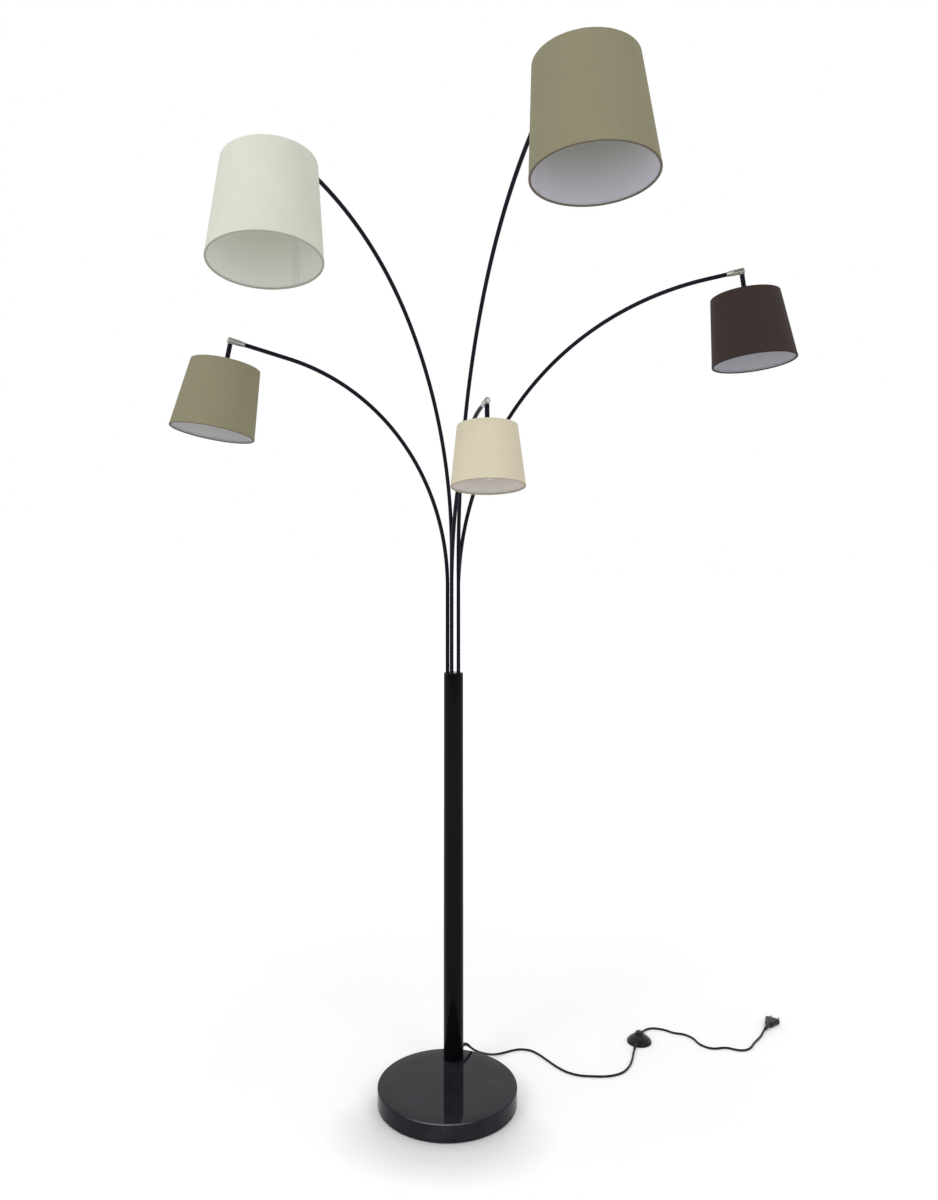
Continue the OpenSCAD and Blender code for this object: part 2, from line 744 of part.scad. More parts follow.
// Straight out of the pole's back as [distance, drop], over the stone's edge in one easy fall,
// and along the floor to the switch
TO_SWITCH = concat(
    [for (p = [[12.5, 0], [20.5, 0], [27.5, 0], [32.5, 0.6], [37.5, 2.4], [42.5, 5.7], [50, 12.8],
        [60, 21.4], [71, 28.9], [81, 34.6], [92, 39.9], [102, 44.3],
        [112, 48.2]]) hole_pos + p[0] * hole_dir - [0, 0, p[1]]],
    [[89, 200, floor_z + 2.9], [99, 208.5, floor_z + 1], [111, 217.5, floor_z + 0.2]],
    [for (p = [[126, 227.5], [145, 235], [169, 232], [191, 214], [212, 189], [233, 165], [256, 146],
        [284, 136], [313, 136], [341, 139], [364, 148], [382, 163], [396, 189]]) [p[0], p[1], floor_z]],
    [[404, 218, floor_z + 0.2]],
    [for (p = [[-52, 3.5], [-38, 0], [-30, 0], [-switch_cord_end, 0]])
        switch_at + p[0] * switch_dir - [0, 0, p[1]]]);

plug_pos = [736, 395];
plug_turn = 61;
plug_dir = [cos(plug_turn), sin(plug_turn), 0];
plug_at = [plug_pos[0], plug_pos[1], plug_t / 2];
relief_l = 22;

// From the switch along the floor to the plug
TO_PLUG = concat(
    [for (p = [[switch_cord_end, 0], [30, 0], [38, 0], [52, 3.5]])
        switch_at + p[0] * switch_dir - [0, 0, p[1]]],
    [[450, 369, floor_z + 0.2]],
    [for (p = [[465, 375], [489, 371], [512, 358], [536, 353], [555, 337], [567, 312], [583, 297],
        [601, 293], [621, 299], [635, 299], [648, 294], [662, 292], [675, 296], [687, 308],
        [699, 331]]) [p[0], p[1], floor_z]],
    [[719, 363, floor_z + 0.5]],
    [for (p = [[-14, 1.5], [-6, 0], [0, 0], [8, 0]]) plug_at + p[0] * plug_dir - [0, 0, p[1]]]);

module cord_to_switch() {
    color(black) sweep(smooth(TO_SWITCH), cord_d, 8);
}

module cord_to_plug() {
    color(black) sweep(smooth(TO_PLUG), cord_d, 8);
}

// Lays out a child on the plug, with +X along the cord and the pins
module at_plug() {
    translate(plug_at) rotate([0, 0, plug_turn]) children();
}

pin_seat = 10;

module plug_body() {
    w = plug_w / 2;
    t = plug_t / 2;
    color(black) at_plug() difference() {
        union() {
            rotate([0, 90, 0]) cylinder(d1 = cord_d + 3, d2 = plug_t - 2, h = relief_l);
            intersection() {
                linear_extrude(height = plug_t, center = true) polygon([[relief_l - 4, 6],
                    [relief_l, w * 0.55], [relief_l + plug_l * 0.5, w * 0.75],
                    [relief_l + plug_l - 8, w], [relief_l + plug_l - 1, w],
                    [relief_l + plug_l, w - 1], [relief_l + plug_l, 1 - w], [relief_l + plug_l - 1, -w],
                    [relief_l + plug_l - 8, -w], [relief_l + plug_l * 0.5, -w * 0.75],
                    [relief_l, -w * 0.55], [relief_l - 4, -6]]);
                translate([0, plug_w / 2 + 1, 0]) rotate([90, 0, 0]) linear_extrude(height = plug_w + 2)
                    polygon([[0, t - 1.5], [relief_l, t - 1.2], [relief_l + plug_l - 1, t],
                        [relief_l + plug_l + 1, t - 2], [relief_l + plug_l + 1, 2 - t],
                        [relief_l + plug_l - 1, -t], [relief_l, 1.2 - t], [0, 1.5 - t]]);
            }
        }
        translate([-1, 0, 0]) rotate([0, 90, 0]) cylinder(d = cord_d + seat_gap, h = 10);
        for (y = [-1, 1]) translate([relief_l + plug_l - pin_seat, y * pin_pitch / 2, 0])
            rotate([0, 90, 0]) cylinder(d = pin_d + seat_gap, h = pin_seat + 5);
    }
}

module plug_pins() {
    color(steel) at_plug() for (y = [-1, 1])
        translate([relief_l + plug_l - pin_seat + seat_gap, y * pin_pitch / 2, 0]) rotate([0, 90, 0]) {
            cylinder(d = pin_d, h = pin_seat + pin_l - 1.5);
            translate([0, 0, pin_seat + pin_l - 1.5]) cylinder(d1 = pin_d, d2 = pin_d - 1.6, h = 1.5);
        }
}

// Low left arm and its head

module arm_low_left() arm_tube(LOW_LEFT);
module elbow_low_left() at_elbow(LOW_LEFT) elbow_body();
module stem_low_left() at_elbow(LOW_LEFT) stem_tube();
module holder_low_left() at_elbow(LOW_LEFT) holder_body();
module clamp_ring_low_left() at_elbow(LOW_LEFT) clamp_ring_body();
module wire_frame_low_left() at_elbow(LOW_LEFT) wire_frame_body(SMALL);
module shade_low_left() color(olive) at_elbow(LOW_LEFT) shade_cover(SMALL);
module bulb_low_left() at_elbow(LOW_LEFT) bulb_body();

// Low right arm and its head

module arm_low_right() arm_tube(LOW_RIGHT);
module elbow_low_right() at_elbow(LOW_RIGHT) elbow_body();
module stem_low_right() at_elbow(LOW_RIGHT) stem_tube();
module holder_low_right() at_elbow(LOW_RIGHT) holder_body();
module clamp_ring_low_right() at_elbow(LOW_RIGHT) clamp_ring_body();
module wire_frame_low_right() at_elbow(LOW_RIGHT) wire_frame_body(SMALL);
module shade_low_right() color(brown) at_elbow(LOW_RIGHT) shade_cover(SMALL);
module bulb_low_right() at_elbow(LOW_RIGHT) bulb_body();

// Front arm and its head

module arm_front() arm_tube(FRONT);
module elbow_front() at_elbow(FRONT) elbow_body();
module stem_front() at_elbow(FRONT) stem_tube();
module holder_front() at_elbow(FRONT) holder_body();
module clamp_ring_front() at_elbow(FRONT) clamp_ring_body();
module wire_frame_front() at_elbow(FRONT) wire_frame_body(CREAM);
module shade_front() color(cream) at_elbow(FRONT) shade_cover(CREAM);
module bulb_front() at_elbow(FRONT) bulb_body();

// High left arm and its head

module arm_high_left() arm_tube(HIGH_LEFT);
module elbow_high_left() at_elbow(HIGH_LEFT) elbow_body();
module stem_high_left() at_elbow(HIGH_LEFT) stem_tube();
module holder_high_left() at_elbow(HIGH_LEFT) holder_body();
module clamp_ring_high_left() at_elbow(HIGH_LEFT) clamp_ring_body();
module wire_frame_high_left() at_elbow(HIGH_LEFT) wire_frame_body(LARGE);
module shade_high_left() color(ivory) at_elbow(HIGH_LEFT) shade_cover(LARGE);
module bulb_high_left() at_elbow(HIGH_LEFT) bulb_body();

// High right arm and its head

module arm_high_right() arm_tube(HIGH_RIGHT);
module elbow_high_right() at_elbow(HIGH_RIGHT) elbow_body();
module stem_high_right() at_elbow(HIGH_RIGHT) stem_tube();
module holder_high_right() at_elbow(HIGH_RIGHT) holder_body();
module clamp_ring_high_right() at_elbow(HIGH_RIGHT) clamp_ring_body();
module wire_frame_high_right() at_elbow(HIGH_RIGHT) wire_frame_body(LARGE);
module shade_high_right() color(olive) at_elbow(HIGH_RIGHT) shade_cover(LARGE);
module bulb_high_right() at_elbow(HIGH_RIGHT) bulb_body();

base_stone();
base_felt();
tie_bolt();
tie_washer();
pole_foot_plug();
pole_tube();
pole_cap();
cord_gland();
lead_connector();
arm_low_left();
arm_low_right();
arm_front();
arm_high_left();
arm_high_right();
elbow_low_left();
elbow_low_right();
elbow_front();
elbow_high_left();
elbow_high_right();
stem_low_left();
stem_low_right();
stem_front();
stem_high_left();
stem_high_right();
holder_low_left();
holder_low_right();
holder_front();
holder_high_left();
holder_high_right();
clamp_ring_low_left();
clamp_ring_low_right();
clamp_ring_front();
clamp_ring_high_left();
clamp_ring_high_right();
wire_frame_low_left();
wire_frame_low_right();
wire_frame_front();
wire_frame_high_left();
wire_frame_high_right();
shade_low_left();
shade_low_right();
shade_front();
shade_high_left();
shade_high_right();
bulb_low_left();
bulb_low_right();
bulb_front();
bulb_high_left();
bulb_high_right();
switch_plate();
switch_cover();
switch_button();
switch_spring();
cord_to_switch();
cord_to_plug();
plug_body();
plug_pins();
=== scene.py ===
# %% [markdown]
# # A five-arm arc floor lamp
# The CAD model is loaded first, as a frame that is never moved. The looks are then
# built around it, piece by piece: the cords, the stone foot, the pole with its five
# bent tubes, the nickel elbows and the cloth shades. Everything is in metres, with
# +Z up and the lamp's front towards -Y.

# %% Load the frame
import json
import math
import bpy
from mathutils import Matrix, Vector


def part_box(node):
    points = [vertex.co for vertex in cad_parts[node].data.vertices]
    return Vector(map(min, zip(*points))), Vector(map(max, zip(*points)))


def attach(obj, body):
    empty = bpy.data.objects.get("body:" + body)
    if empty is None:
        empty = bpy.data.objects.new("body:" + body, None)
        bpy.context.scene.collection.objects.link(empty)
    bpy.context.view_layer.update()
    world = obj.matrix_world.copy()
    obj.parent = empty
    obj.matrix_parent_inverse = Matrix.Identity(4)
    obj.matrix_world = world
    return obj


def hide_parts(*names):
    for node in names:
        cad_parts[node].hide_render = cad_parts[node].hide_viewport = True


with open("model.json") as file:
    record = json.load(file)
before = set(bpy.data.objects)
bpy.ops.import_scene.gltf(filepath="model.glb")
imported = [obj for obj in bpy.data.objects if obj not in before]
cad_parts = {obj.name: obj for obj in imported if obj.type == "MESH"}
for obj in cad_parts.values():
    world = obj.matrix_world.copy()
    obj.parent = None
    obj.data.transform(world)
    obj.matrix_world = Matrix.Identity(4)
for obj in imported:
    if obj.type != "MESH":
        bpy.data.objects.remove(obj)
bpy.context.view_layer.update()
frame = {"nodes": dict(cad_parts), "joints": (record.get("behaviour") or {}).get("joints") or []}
nodes = frame["nodes"]

# %% [markdown]
# The camera stands where the photographer stood. A lens of 30 mm on a 36 mm sensor,
# a little over 2.3 m in front of the pole and 1.21 m above the floor, sees the shades
# from below and the foot from above. The frame is shifted down a little, as a
# photographer shifts a view to keep a tall thing upright.

# %% Camera
POLE = Vector((0, 0.1115, 0))
eye_turn, eye_tilt, eye_reach = math.radians(6.8), math.radians(3.24), 2.331
eye = POLE + eye_reach * Vector((math.sin(eye_turn), -math.cos(eye_turn), 0)) + Vector((0, 0, 1.2128))
lens = bpy.data.cameras.new("photo_lens")
lens.lens, lens.sensor_width = 30, 36
lens.shift_x, lens.shift_y = 0.0129, -0.1
camera = bpy.data.objects.new("photo_camera", lens)
camera.location = eye
camera.rotation_euler = (math.pi / 2 + eye_tilt, 0, eye_turn)
bpy.context.scene.collection.objects.link(camera)
bpy.context.scene.camera = camera
print("camera at", [round(v, 3) for v in eye])

# %% [markdown]
# The supply cord leaves the back of the pole, lies over the stone's edge and runs in
# loose waves to the foot switch and on to the plug. A curve object with a round bevel
# is the natural tool: its spline is the cord's own centre line, so its length can be
# measured. The points are the CAD route's, drawn as one smooth line.

# %% Cord routes
CORD_D = 0.005
FLOOR = CORD_D / 2
SWITCH_TURN, PLUG_TURN, HOLE_TURN = math.radians(73), math.radians(61), math.radians(45)
SWITCH = Vector((0.426, 0.309, 0.007))
PLUG = Vector((0.736, 0.395, 0.00675))
hole = POLE + Vector((0, 0, 0.057))


def heading(turn):
    """The level direction at an angle from +X."""
    return Vector((math.cos(turn), math.sin(turn), 0))


switch_dir, plug_dir, hole_dir = heading(SWITCH_TURN), heading(PLUG_TURN), heading(HOLE_TURN)


def in_metres(points):
    """Floor points in millimetres, with how much higher than the floor line they lie."""
    return [Vector((x / 1000, y / 1000, FLOOR + rise / 1000)) for x, y, rise in points]


def on_floor(*points):
    return in_metres([(x, y, 0) for x, y in points])


def along(start, way, *steps):
    """Points in line with a housing's cord hole, as (distance, drop) in millimetres."""
    return [start + way * (far / 1000) - Vector((0, 0, drop / 1000)) for far, drop in steps]


to_switch = along(hole, hole_dir, (12.5, 0), (20.5, 0), (27.5, 0), (32.5, 0.6), (37.5, 2.4),
                  (42.5, 5.7), (50, 12.8), (60, 21.4), (71, 28.9), (81, 34.6), (92, 39.9),
                  (102, 44.3), (112, 48.2))
to_switch += in_metres([(89, 200, 2.9), (99, 208.5, 1), (111, 217.5, 0.2)])
to_switch += on_floor((126, 227.5), (145, 235), (169, 232), (191, 214), (212, 189), (233, 165),
                      (256, 146), (284, 136), (313, 136), (341, 139), (364, 148), (382, 163),
                      (396, 189))
to_switch += in_metres([(404, 218, 0.2)])
to_switch += along(SWITCH, switch_dir, (-52, 3.5), (-38, 0), (-30, 0), (-22, 0))
to_plug = along(SWITCH, switch_dir, (22, 0), (30, 0), (38, 0), (52, 3.5))
to_plug += in_metres([(450, 369, 0.2)])
to_plug += on_floor((465, 375), (489, 371), (512, 358), (536, 353), (555, 337), (567, 312),
                    (583, 297), (601, 293), (621, 299), (635, 299), (648, 294), (662, 292),
                    (675, 296), (687, 308), (699, 331))
to_plug += in_metres([(719, 363, 0.5)])
to_plug += along(PLUG, plug_dir, (-14, 1.5), (-6, 0), (0, 0), (8, 0))


def smooth_line(points, steps=2):
    """The points with more put between them, on a curve that goes through them all."""
    line = []
    for i in range(len(points) - 1):
        a, b = points[max(i - 1, 0)], points[i]
        c, d = points[i + 1], points[min(i + 2, len(points) - 1)]
        for t in [k / steps for k in range(steps)]:
            line.append(0.5 * (2 * b + (c - a) * t + (2 * a - 5 * b + 4 * c - d) * t * t
                               + (3 * b - a - 3 * c + d) * t ** 3))
    return line + [points[-1]]


def length_of(line):
    return sum((b - a).length for a, b in zip(line, line[1:]))


switch_line, plug_line = smooth_line(to_switch, 6), smooth_line(to_plug, 6)
print("cord lengths in metres:", round(length_of(switch_line), 3), round(length_of(plug_line), 3))

# %% [markdown]
# Materials are written as sums. A Wire holds one output socket of a node, and + - * /
# on it add Math nodes, so that a weave or a scratch mask reads like a formula. A plain
# number in such a sum is set on the node's socket as it is.

# %% Sums of sockets


class Wire:
    """An output socket that can be used in sums."""

    def __init__(self, socket):
        self.socket = socket

    def maths(self, operation, *values):
        node = self.socket.id_data.nodes.new("ShaderNodeMath")
        node.operation = operation
        for slot, value in zip(node.inputs, values):
            join(slot, value)
        return Wire(node.outputs[0])

    def __add__(self, other): return self.maths("ADD", self, other)
    def __radd__(self, other): return self.maths("ADD", other, self)
    def __sub__(self, other): return self.maths("SUBTRACT", self, other)
    def __rsub__(self, other): return self.maths("SUBTRACT", other, self)
    def __mul__(self, other): return self.maths("MULTIPLY", self, other)
    def __rmul__(self, other): return self.maths("MULTIPLY", other, self)
    def __truediv__(self, other): return self.maths("DIVIDE", self, other)
    def sine(self): return self.maths("SINE", self)
    def size(self): return self.maths("ABSOLUTE", self)
    def root(self): return self.maths("SQRT", self)


def join(slot, value):
    """Puts a value or a link into a socket."""
    if isinstance(value, Wire):
        slot.id_data.links.new(value.socket, slot)
    else:
        slot.default_value = value


print("sums of sockets: + - * /, sine, size and root")

# %% [markdown]
# A Finish is one material. Its add method makes any node from its type, its settings
# and the values or links of its sockets, with _ for a space in a socket's name. The
# other methods are shorthand for the nodes that every finish here needs.

# %% A small language for materials


class Finish:
    """One material, whose shader is made by its add method."""

    def __init__(self, name):
        self.material = bpy.data.materials.new(name)
        self.material.use_nodes = True
        self.tree = self.material.node_tree
        self.tree.nodes.clear()

    def add(self, kind, settings=None, out=None, **sockets):
        node = self.tree.nodes.new("ShaderNode" + kind)
        for key, value in (settings or {}).items():
            setattr(node, key, value)
        for key, value in sockets.items():
            word = key.replace("_", " ")
            slot = next(s for s in node.inputs if s.name == word and s.enabled)
            join(slot, value)
        outputs = [o for o in node.outputs if o.enabled]
        if isinstance(out, str):
            outputs = [o for o in outputs if o.name == out]
        return Wire(outputs[0]) if outputs else None

    def place(self):
        """Where a point lies in its own object, in metres."""
        return self.add("TexCoord", out="Object")

    def cloth_place(self):
        return self.add("UVMap")

    def parts(self, vector):
        node = self.tree.nodes.new("ShaderNodeSeparateXYZ")
        join(node.inputs[0], vector)
        return [Wire(o) for o in node.outputs]

    def noise(self, vector, scale, detail=2.0, rough=0.5):
        return self.add("TexNoise", Vector=vector, Scale=scale, Detail=detail, Roughness=rough)

    def stretch(self, vector, x, y, z):
        return self.add("Mapping", Vector=vector, Scale=(x, y, z))

    def mix(self, factor, low, high):
        return self.add("Mix", {"data_type": "RGBA"}, Factor=factor, A=low, B=high)

    def blend(self, factor, first, second):
        """One shader fading into another."""
        node = self.tree.nodes.new("ShaderNodeMixShader")
        for slot, value in zip(node.inputs, (factor, first, second)):
            if value is not None:
                join(slot, value)
        return Wire(node.outputs[0])

    def bump(self, height, distance, strength=1.0):
        return self.add("Bump", Height=height, Distance=distance, Strength=strength)

    def shade(self, **sockets):
        """The surface shader, plugged into the material's output."""
        surface = self.add("BsdfPrincipled", **sockets)
        self.add("OutputMaterial", Surface=surface)
        return self.material


def paint(r, g, b):
    """A colour given as it looks on a screen, from 0 to 255."""
    shares = [c / 255 for c in (r, g, b)]
    return tuple(c / 12.92 if c < 0.0392 else ((c + 0.055) / 1.055) ** 2.4 for c in shares) + (1.0,)


print("olive is", [round(v, 3) for v in paint(140, 135, 110)])

# %% [markdown]
# The foot is polished black stone. Real stone of this kind is nearly black with fine
# pale grains, a few larger crystals and one or two faint veins, under a polish that
# mirrors the room. Noise at three scales makes grains, clouds and a vein, and a painted
# highlight runs along the front of the top edge.

# %% Stone and metal finishes


def polished_stone():
    f = Finish("polished_stone")
    at = f.place()
    grain = f.noise(at, 900, 3.0, 0.6)
    cloud = f.noise(at, 22, 4.0)
    flake = f.add("TexVoronoi", {"feature": "F1"}, Vector=at, Scale=420.0)
    speck = f.add("Clamp", Value=(grain - 0.58) * 9)
    crystal = f.add("Clamp", Value=(0.16 - flake) * 6)
    vein = f.noise(f.stretch(at, 3.0, 11.0, 3.0), 1.6, 6.0, 0.62)
    vein = f.add("Clamp", Value=1 - (vein - 0.5).size() * 55)
    base = f.mix(f.add("Clamp", Value=(cloud - 0.42) * 3), paint(31, 30, 37), paint(41, 40, 48))
    base = f.mix(speck * 0.12, base, paint(80, 80, 84))
    base = f.mix(crystal * 0.08, base, paint(96, 96, 100))
    base = f.mix(vein * 0.05, base, paint(96, 96, 98))
    # Painted highlight: a pale band on the rounded top edge, brightest at the front, stands in for the
    # light that the polish catches there.
    x, y, z = f.parts(at)
    reach = (x * x + y * y).root()
    outer = f.add("Clamp", Value=(reach - STONE_R + 0.0022) * 1200)
    painted_highlight_edge = outer * f.add("Clamp", Value=(z - STONE_TOP + 0.0022) * 1200)
    painted_highlight_front = f.add("Clamp", Value=(0.0 - y / STONE_R - 0.8) * 5)
    base = f.mix(painted_highlight_edge * (painted_highlight_front * painted_highlight_front * 0.6), base, paint(150, 150, 157))
    return f.shade(Base_Color=base, Roughness=0.05 + speck * 0.04 + vein * 0.05,
                   Specular_IOR_Level=0.12)


def black_lacquer(name, deep):
    """Sprayed gloss enamel: a very fine orange peel, dust and faint wiping marks."""
    f = Finish(name)
    at = f.place()
    peel = f.noise(at, 260, 2.0)
    wiped = f.noise(f.stretch(at, 40, 40, 3), 1.0, 3.0)
    dust = f.add("Clamp", Value=(f.noise(at, 1500, 1.0) - 0.72) * 8)
    tone = f.mix(dust * 0.12, paint(*deep), paint(*[c + 23 for c in deep]))
    return f.shade(Base_Color=tone, Roughness=0.1 + wiped * 0.06 + dust * 0.03, Specular_IOR_Level=0.06,
                   Normal=f.bump(peel, 0.000004, 0.2))


def satin_nickel():
    """Plated and brushed round the barrel, so the scratches run round the object's X axis."""
    f = Finish("satin_nickel")
    at = f.place()
    x, y, z = f.parts(at)
    rings = f.add("CombineXYZ", X=x * 9000, Y=y * 120, Z=z * 120)
    scratch = f.noise(rings, 1.0, 3.0, 0.65)
    cloud = f.noise(at, 90, 2.0)
    tone = f.mix(f.add("Clamp", Value=scratch), paint(140, 137, 132), paint(182, 179, 174))
    return f.shade(Base_Color=tone, Metallic=1.0, Roughness=0.12 + scratch * 0.1 + cloud * 0.06,
                   Normal=f.bump(scratch, 0.00003, 0.5))


def turned_steel(name="turned_steel", tint=(150, 150, 152)):
    """Zinc plated steel with lathe rings and dull spots."""
    f = Finish(name)
    at = f.place()
    cloud = f.noise(at, 140, 4.0, 0.6)
    rings = f.noise(f.stretch(at, 60, 60, 4000), 1.0, 2.0)
    dull, bright = paint(*[c - 34 for c in tint]), paint(*[c + 28 for c in tint])
    tone = f.mix(f.add("Clamp", Value=cloud), dull, bright)
    return f.shade(Base_Color=tone, Metallic=1.0, Roughness=0.26 + cloud * 0.22,
                   Normal=f.bump(rings, 0.00002, 0.4))


stone_low, stone_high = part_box("base_stone")
STONE_R, STONE_TOP = (stone_high.x - stone_low.x) / 2, stone_high.z
stone, nickel, steel = polished_stone(), satin_nickel(), turned_steel()
lacquer = black_lacquer("black_lacquer", (15, 13, 16))
tube_lacquer = black_lacquer("tube_lacquer", (26, 21, 35))
print("finishes:", stone.name, lacquer.name, nickel.name, steel.name)

# %% [markdown]
# Plastics come next. Gloss black for switch, plug and lampholders, a finer matt one
# for what was moulded against a sparked tool, white for the connector, and the soft
# skin of the cord.

# %% Plastic finishes


def moulded(name, dark, light, rough, pit_scale, pit_depth):
    f = Finish(name)
    at = f.place()
    pits = f.noise(at, pit_scale, 2.0, 0.6)
    cloud = f.noise(at, 45, 3.0)
    rubbed = f.add("Clamp", Value=(f.noise(at, 160, 4.0, 0.7) - 0.6) * 5)
    tone = f.mix(f.add("Clamp", Value=cloud * 0.6 + rubbed * 0.3), dark, light)
    return f.shade(Base_Color=tone, Roughness=rough + cloud * 0.06 + rubbed * 0.1,
                   Specular_IOR_Level=0.25, Normal=f.bump(pits, pit_depth, 0.5))


gloss_black = moulded("gloss_black_plastic", paint(24, 24, 26), paint(38, 38, 41), 0.24, 1400, 0.00004)
matt_black = moulded("matt_black_plastic", paint(27, 27, 28), paint(44, 44, 46), 0.48, 2200, 0.00006)
white_plastic = moulded("white_plastic", paint(222, 222, 216), paint(236, 236, 231), 0.4, 1600, 0.00004)
white_enamel = moulded("white_enamel", paint(214, 214, 209), paint(232, 232, 228), 0.28, 700, 0.00004)
cord_skin = moulded("cord_skin", paint(22, 20, 21), paint(40, 36, 36), 0.42, 3000, 0.00003)


def felt_finish():
    f = Finish("felt")
    at = f.place()
    hair = f.noise(at, 2600, 4.0, 0.75)
    tuft = f.noise(at, 300, 3.0, 0.6)
    tone = f.mix(f.add("Clamp", Value=hair * 0.7 + tuft * 0.3), paint(18, 18, 19), paint(66, 65, 66))
    return f.shade(Base_Color=tone, Roughness=0.95, Sheen_Weight=0.3, Normal=f.bump(hair, 0.0004, 0.8))


felt = felt_finish()
print("plastics:", gloss_black.name, matt_black.name, white_plastic.name, cord_skin.name, felt.name)

# %% [markdown]
# The shades are smooth cotton stretched round a stiff white lining. The cloth's own
# threads are finer than the picture can show. What the eye meets at this distance is
# the slub: thicker yarns that run round the shade as faint streaks. The cloth's UV map
# is laid out in metres, u round the shade and v up it, so streaks are long in u.

# %% Cloth and glass finishes


def cotton(name, tone, hem_shade_tone, dark=0.87, light=1.08):
    f = Finish(name)
    at = f.cloth_place()
    u, v, _ = f.parts(at)
    warp = (u * 2 * math.pi / 0.0007).sine()
    weft = (v * 2 * math.pi / 0.0007).sine()
    weave = warp * weft
    slub = f.noise(f.stretch(at, 14, 900, 1), 1.0, 3.0, 0.6)
    fibre = f.noise(f.stretch(at, 900, 900, 1), 1.0, 2.0)
    cloud = f.noise(f.stretch(at, 9, 9, 1), 1.0, 3.0)
    amount = f.add("Clamp", Value=slub * 0.7 + fibre * 0.2 + cloud * 0.5 - 0.2)
    low = tuple(c * dark for c in tone[:3]) + (1.0,)
    high = tuple(min(1.0, c * light) for c in tone[:3]) + (1.0,)
    # Painted shade: the cloth turned in at the hems, inside the mouth, is darkened towards the hem's
    # shade tone.
    shaded_hem = f.add("Clamp", Value=(HEM_W + HEM_UP + 0.0006 - v) * 1500)
    colour = f.mix(shaded_hem * 0.85, f.mix(amount, low, high), hem_shade_tone)
    return f.shade(Base_Color=colour, Roughness=0.86 + weave * 0.04,
                   Sheen_Weight=0.04, Specular_IOR_Level=0.15,
                   Normal=f.bump(weave * 0.25 + slub * 0.75, 0.00012, 0.6))


def lining_film(name, tone, deep, arm_shade, lap_turn):
    """Stiff white plastic sheet, faintly mottled by the glue behind it, darker where it laps
    over itself, and painted darker towards the top as shade, where less of the room reaches it."""
    f = Finish(name)
    low_d, top_d, height = arm_shade
    u, v, _ = f.parts(f.cloth_place())
    x, y, z = f.parts(f.place())
    mottle = f.noise(f.stretch(f.cloth_place(), 30, 120, 1), 1.0, 4.0, 0.6)
    lap = f.add("Clamp", Value=(LAP / 2 - (u - math.pi * low_d * lap_turn / 360).size()) * 2500)
    up = f.add("Clamp", Value=(z - RIM_Z + height) / height)
    low, high = paint(*[c - 5 for c in tone]), paint(*tone)
    colour = f.mix(f.add("Clamp", Value=mottle), low, high)
    # Painted shade: higher up the lining, the tone moves towards its shaded colour.
    colour = f.mix(f.add("Clamp", Value=up * 1.9), colour, paint(*deep))
    colour = f.mix(lap * 0.3, colour, paint(*[c * 0.86 for c in tone]))
    return f.shade(Base_Color=colour, Roughness=0.5 + mottle * 0.1, Normal=f.bump(mottle, 0.0001, 0.4))


def opal_glass():
    f = Finish("opal_glass")
    at = f.place()
    cloud = f.noise(at, 60, 2.0)
    tone = f.mix(cloud, paint(186, 183, 176), paint(198, 195, 188))
    return f.shade(Base_Color=tone, Roughness=0.22 + cloud * 0.08, Coat_Weight=0.4, Coat_Roughness=0.1)


HEM_W, HEM_UP = 0.00425, 0.0018
# The second colour of each cotton is painted shade for its turned-in hem.
COTTONS = {
    "olive": cotton("olive_cotton", paint(144, 139, 113), paint(104, 94, 86)),
    "brown": cotton("brown_cotton", paint(62, 51, 47), paint(46, 38, 42)),
    "cream": cotton("cream_cotton", paint(224, 214, 189), paint(170, 158, 140)),
    "ivory": cotton("ivory_cotton", paint(221, 223, 209), paint(164, 164, 150)),
}
SMALL, CREAM, LARGE = (0.172, 0.142, 0.143), (0.151, 0.124, 0.126), (0.210, 0.178, 0.200)
RIM_Z, LAP = -0.054, 0.018
LAP_TURN = {"low_left": 50, "low_right": 289, "front": 340, "high_left": 186.5, "high_right": 219.5}
# The same white plastic is in every shade. Its two tones in each are painted light and shade: the lit
# tone near the rim and the painted shade deep inside, set for each shade by how the light falls.
LIT_AND_SHADED_LINING_TONES = {
    "low_left": ((214, 214, 215), (203, 202, 199), SMALL),
    "low_right": ((203, 206, 214), (183, 181, 187), SMALL),
    "front": ((250, 245, 240), (224, 216, 207), CREAM),
    "high_left": ((248, 248, 244), (231, 231, 220), LARGE),
    "high_right": ((231, 230, 242), (190, 189, 181), LARGE),
}
LININGS = {name: lining_film("lining_" + name, near, deep, shade, LAP_TURN[name])
           for name, (near, deep, shade) in LIT_AND_SHADED_LINING_TONES.items()}
glass = opal_glass()
brass = turned_steel("nickelled_brass", (176, 172, 160))
print("cottons:", ", ".join(COTTONS))

# %% [markdown]
# Most of the lamp is turned, bent or drawn, so three ways of making a surface do nearly
# everything. The first is the lathe, which turns a profile round Z. It gives a closed
# mesh with a UV map in metres, so that cloth and streaks keep their true scale.

# %% Mesh pieces and the lathe


def mesh_piece(name, points, faces, uvs, finish, place=None, flat=False):
    data = bpy.data.meshes.new(name)
    data.from_pydata([tuple(p) for p in points], [], faces)
    layer = data.uv_layers.new(name="laid_flat")
    for loop, uv in zip(layer.data, uvs):
        loop.uv = uv
    data.materials.append(finish)
    data.update()
    if not flat:
        data.shade_smooth()
        data.set_sharp_from_angle(angle=math.radians(38))
    piece = bpy.data.objects.new(name, data)
    bpy.context.scene.collection.objects.link(piece)
    if place is not None:
        piece.matrix_world = place
    return piece


def grid_faces(rows, columns, close_rows):
    """Quads between rows of points, where each row closes round on itself."""
    faces = []
    for i in range(rows if close_rows else rows - 1):
        for k in range(columns):
            a, b = i * columns + k, i * columns + (k + 1) % columns
            shift = ((i + 1) % rows - i) * columns
            faces.append((a, b, b + shift, a + shift))
    return faces


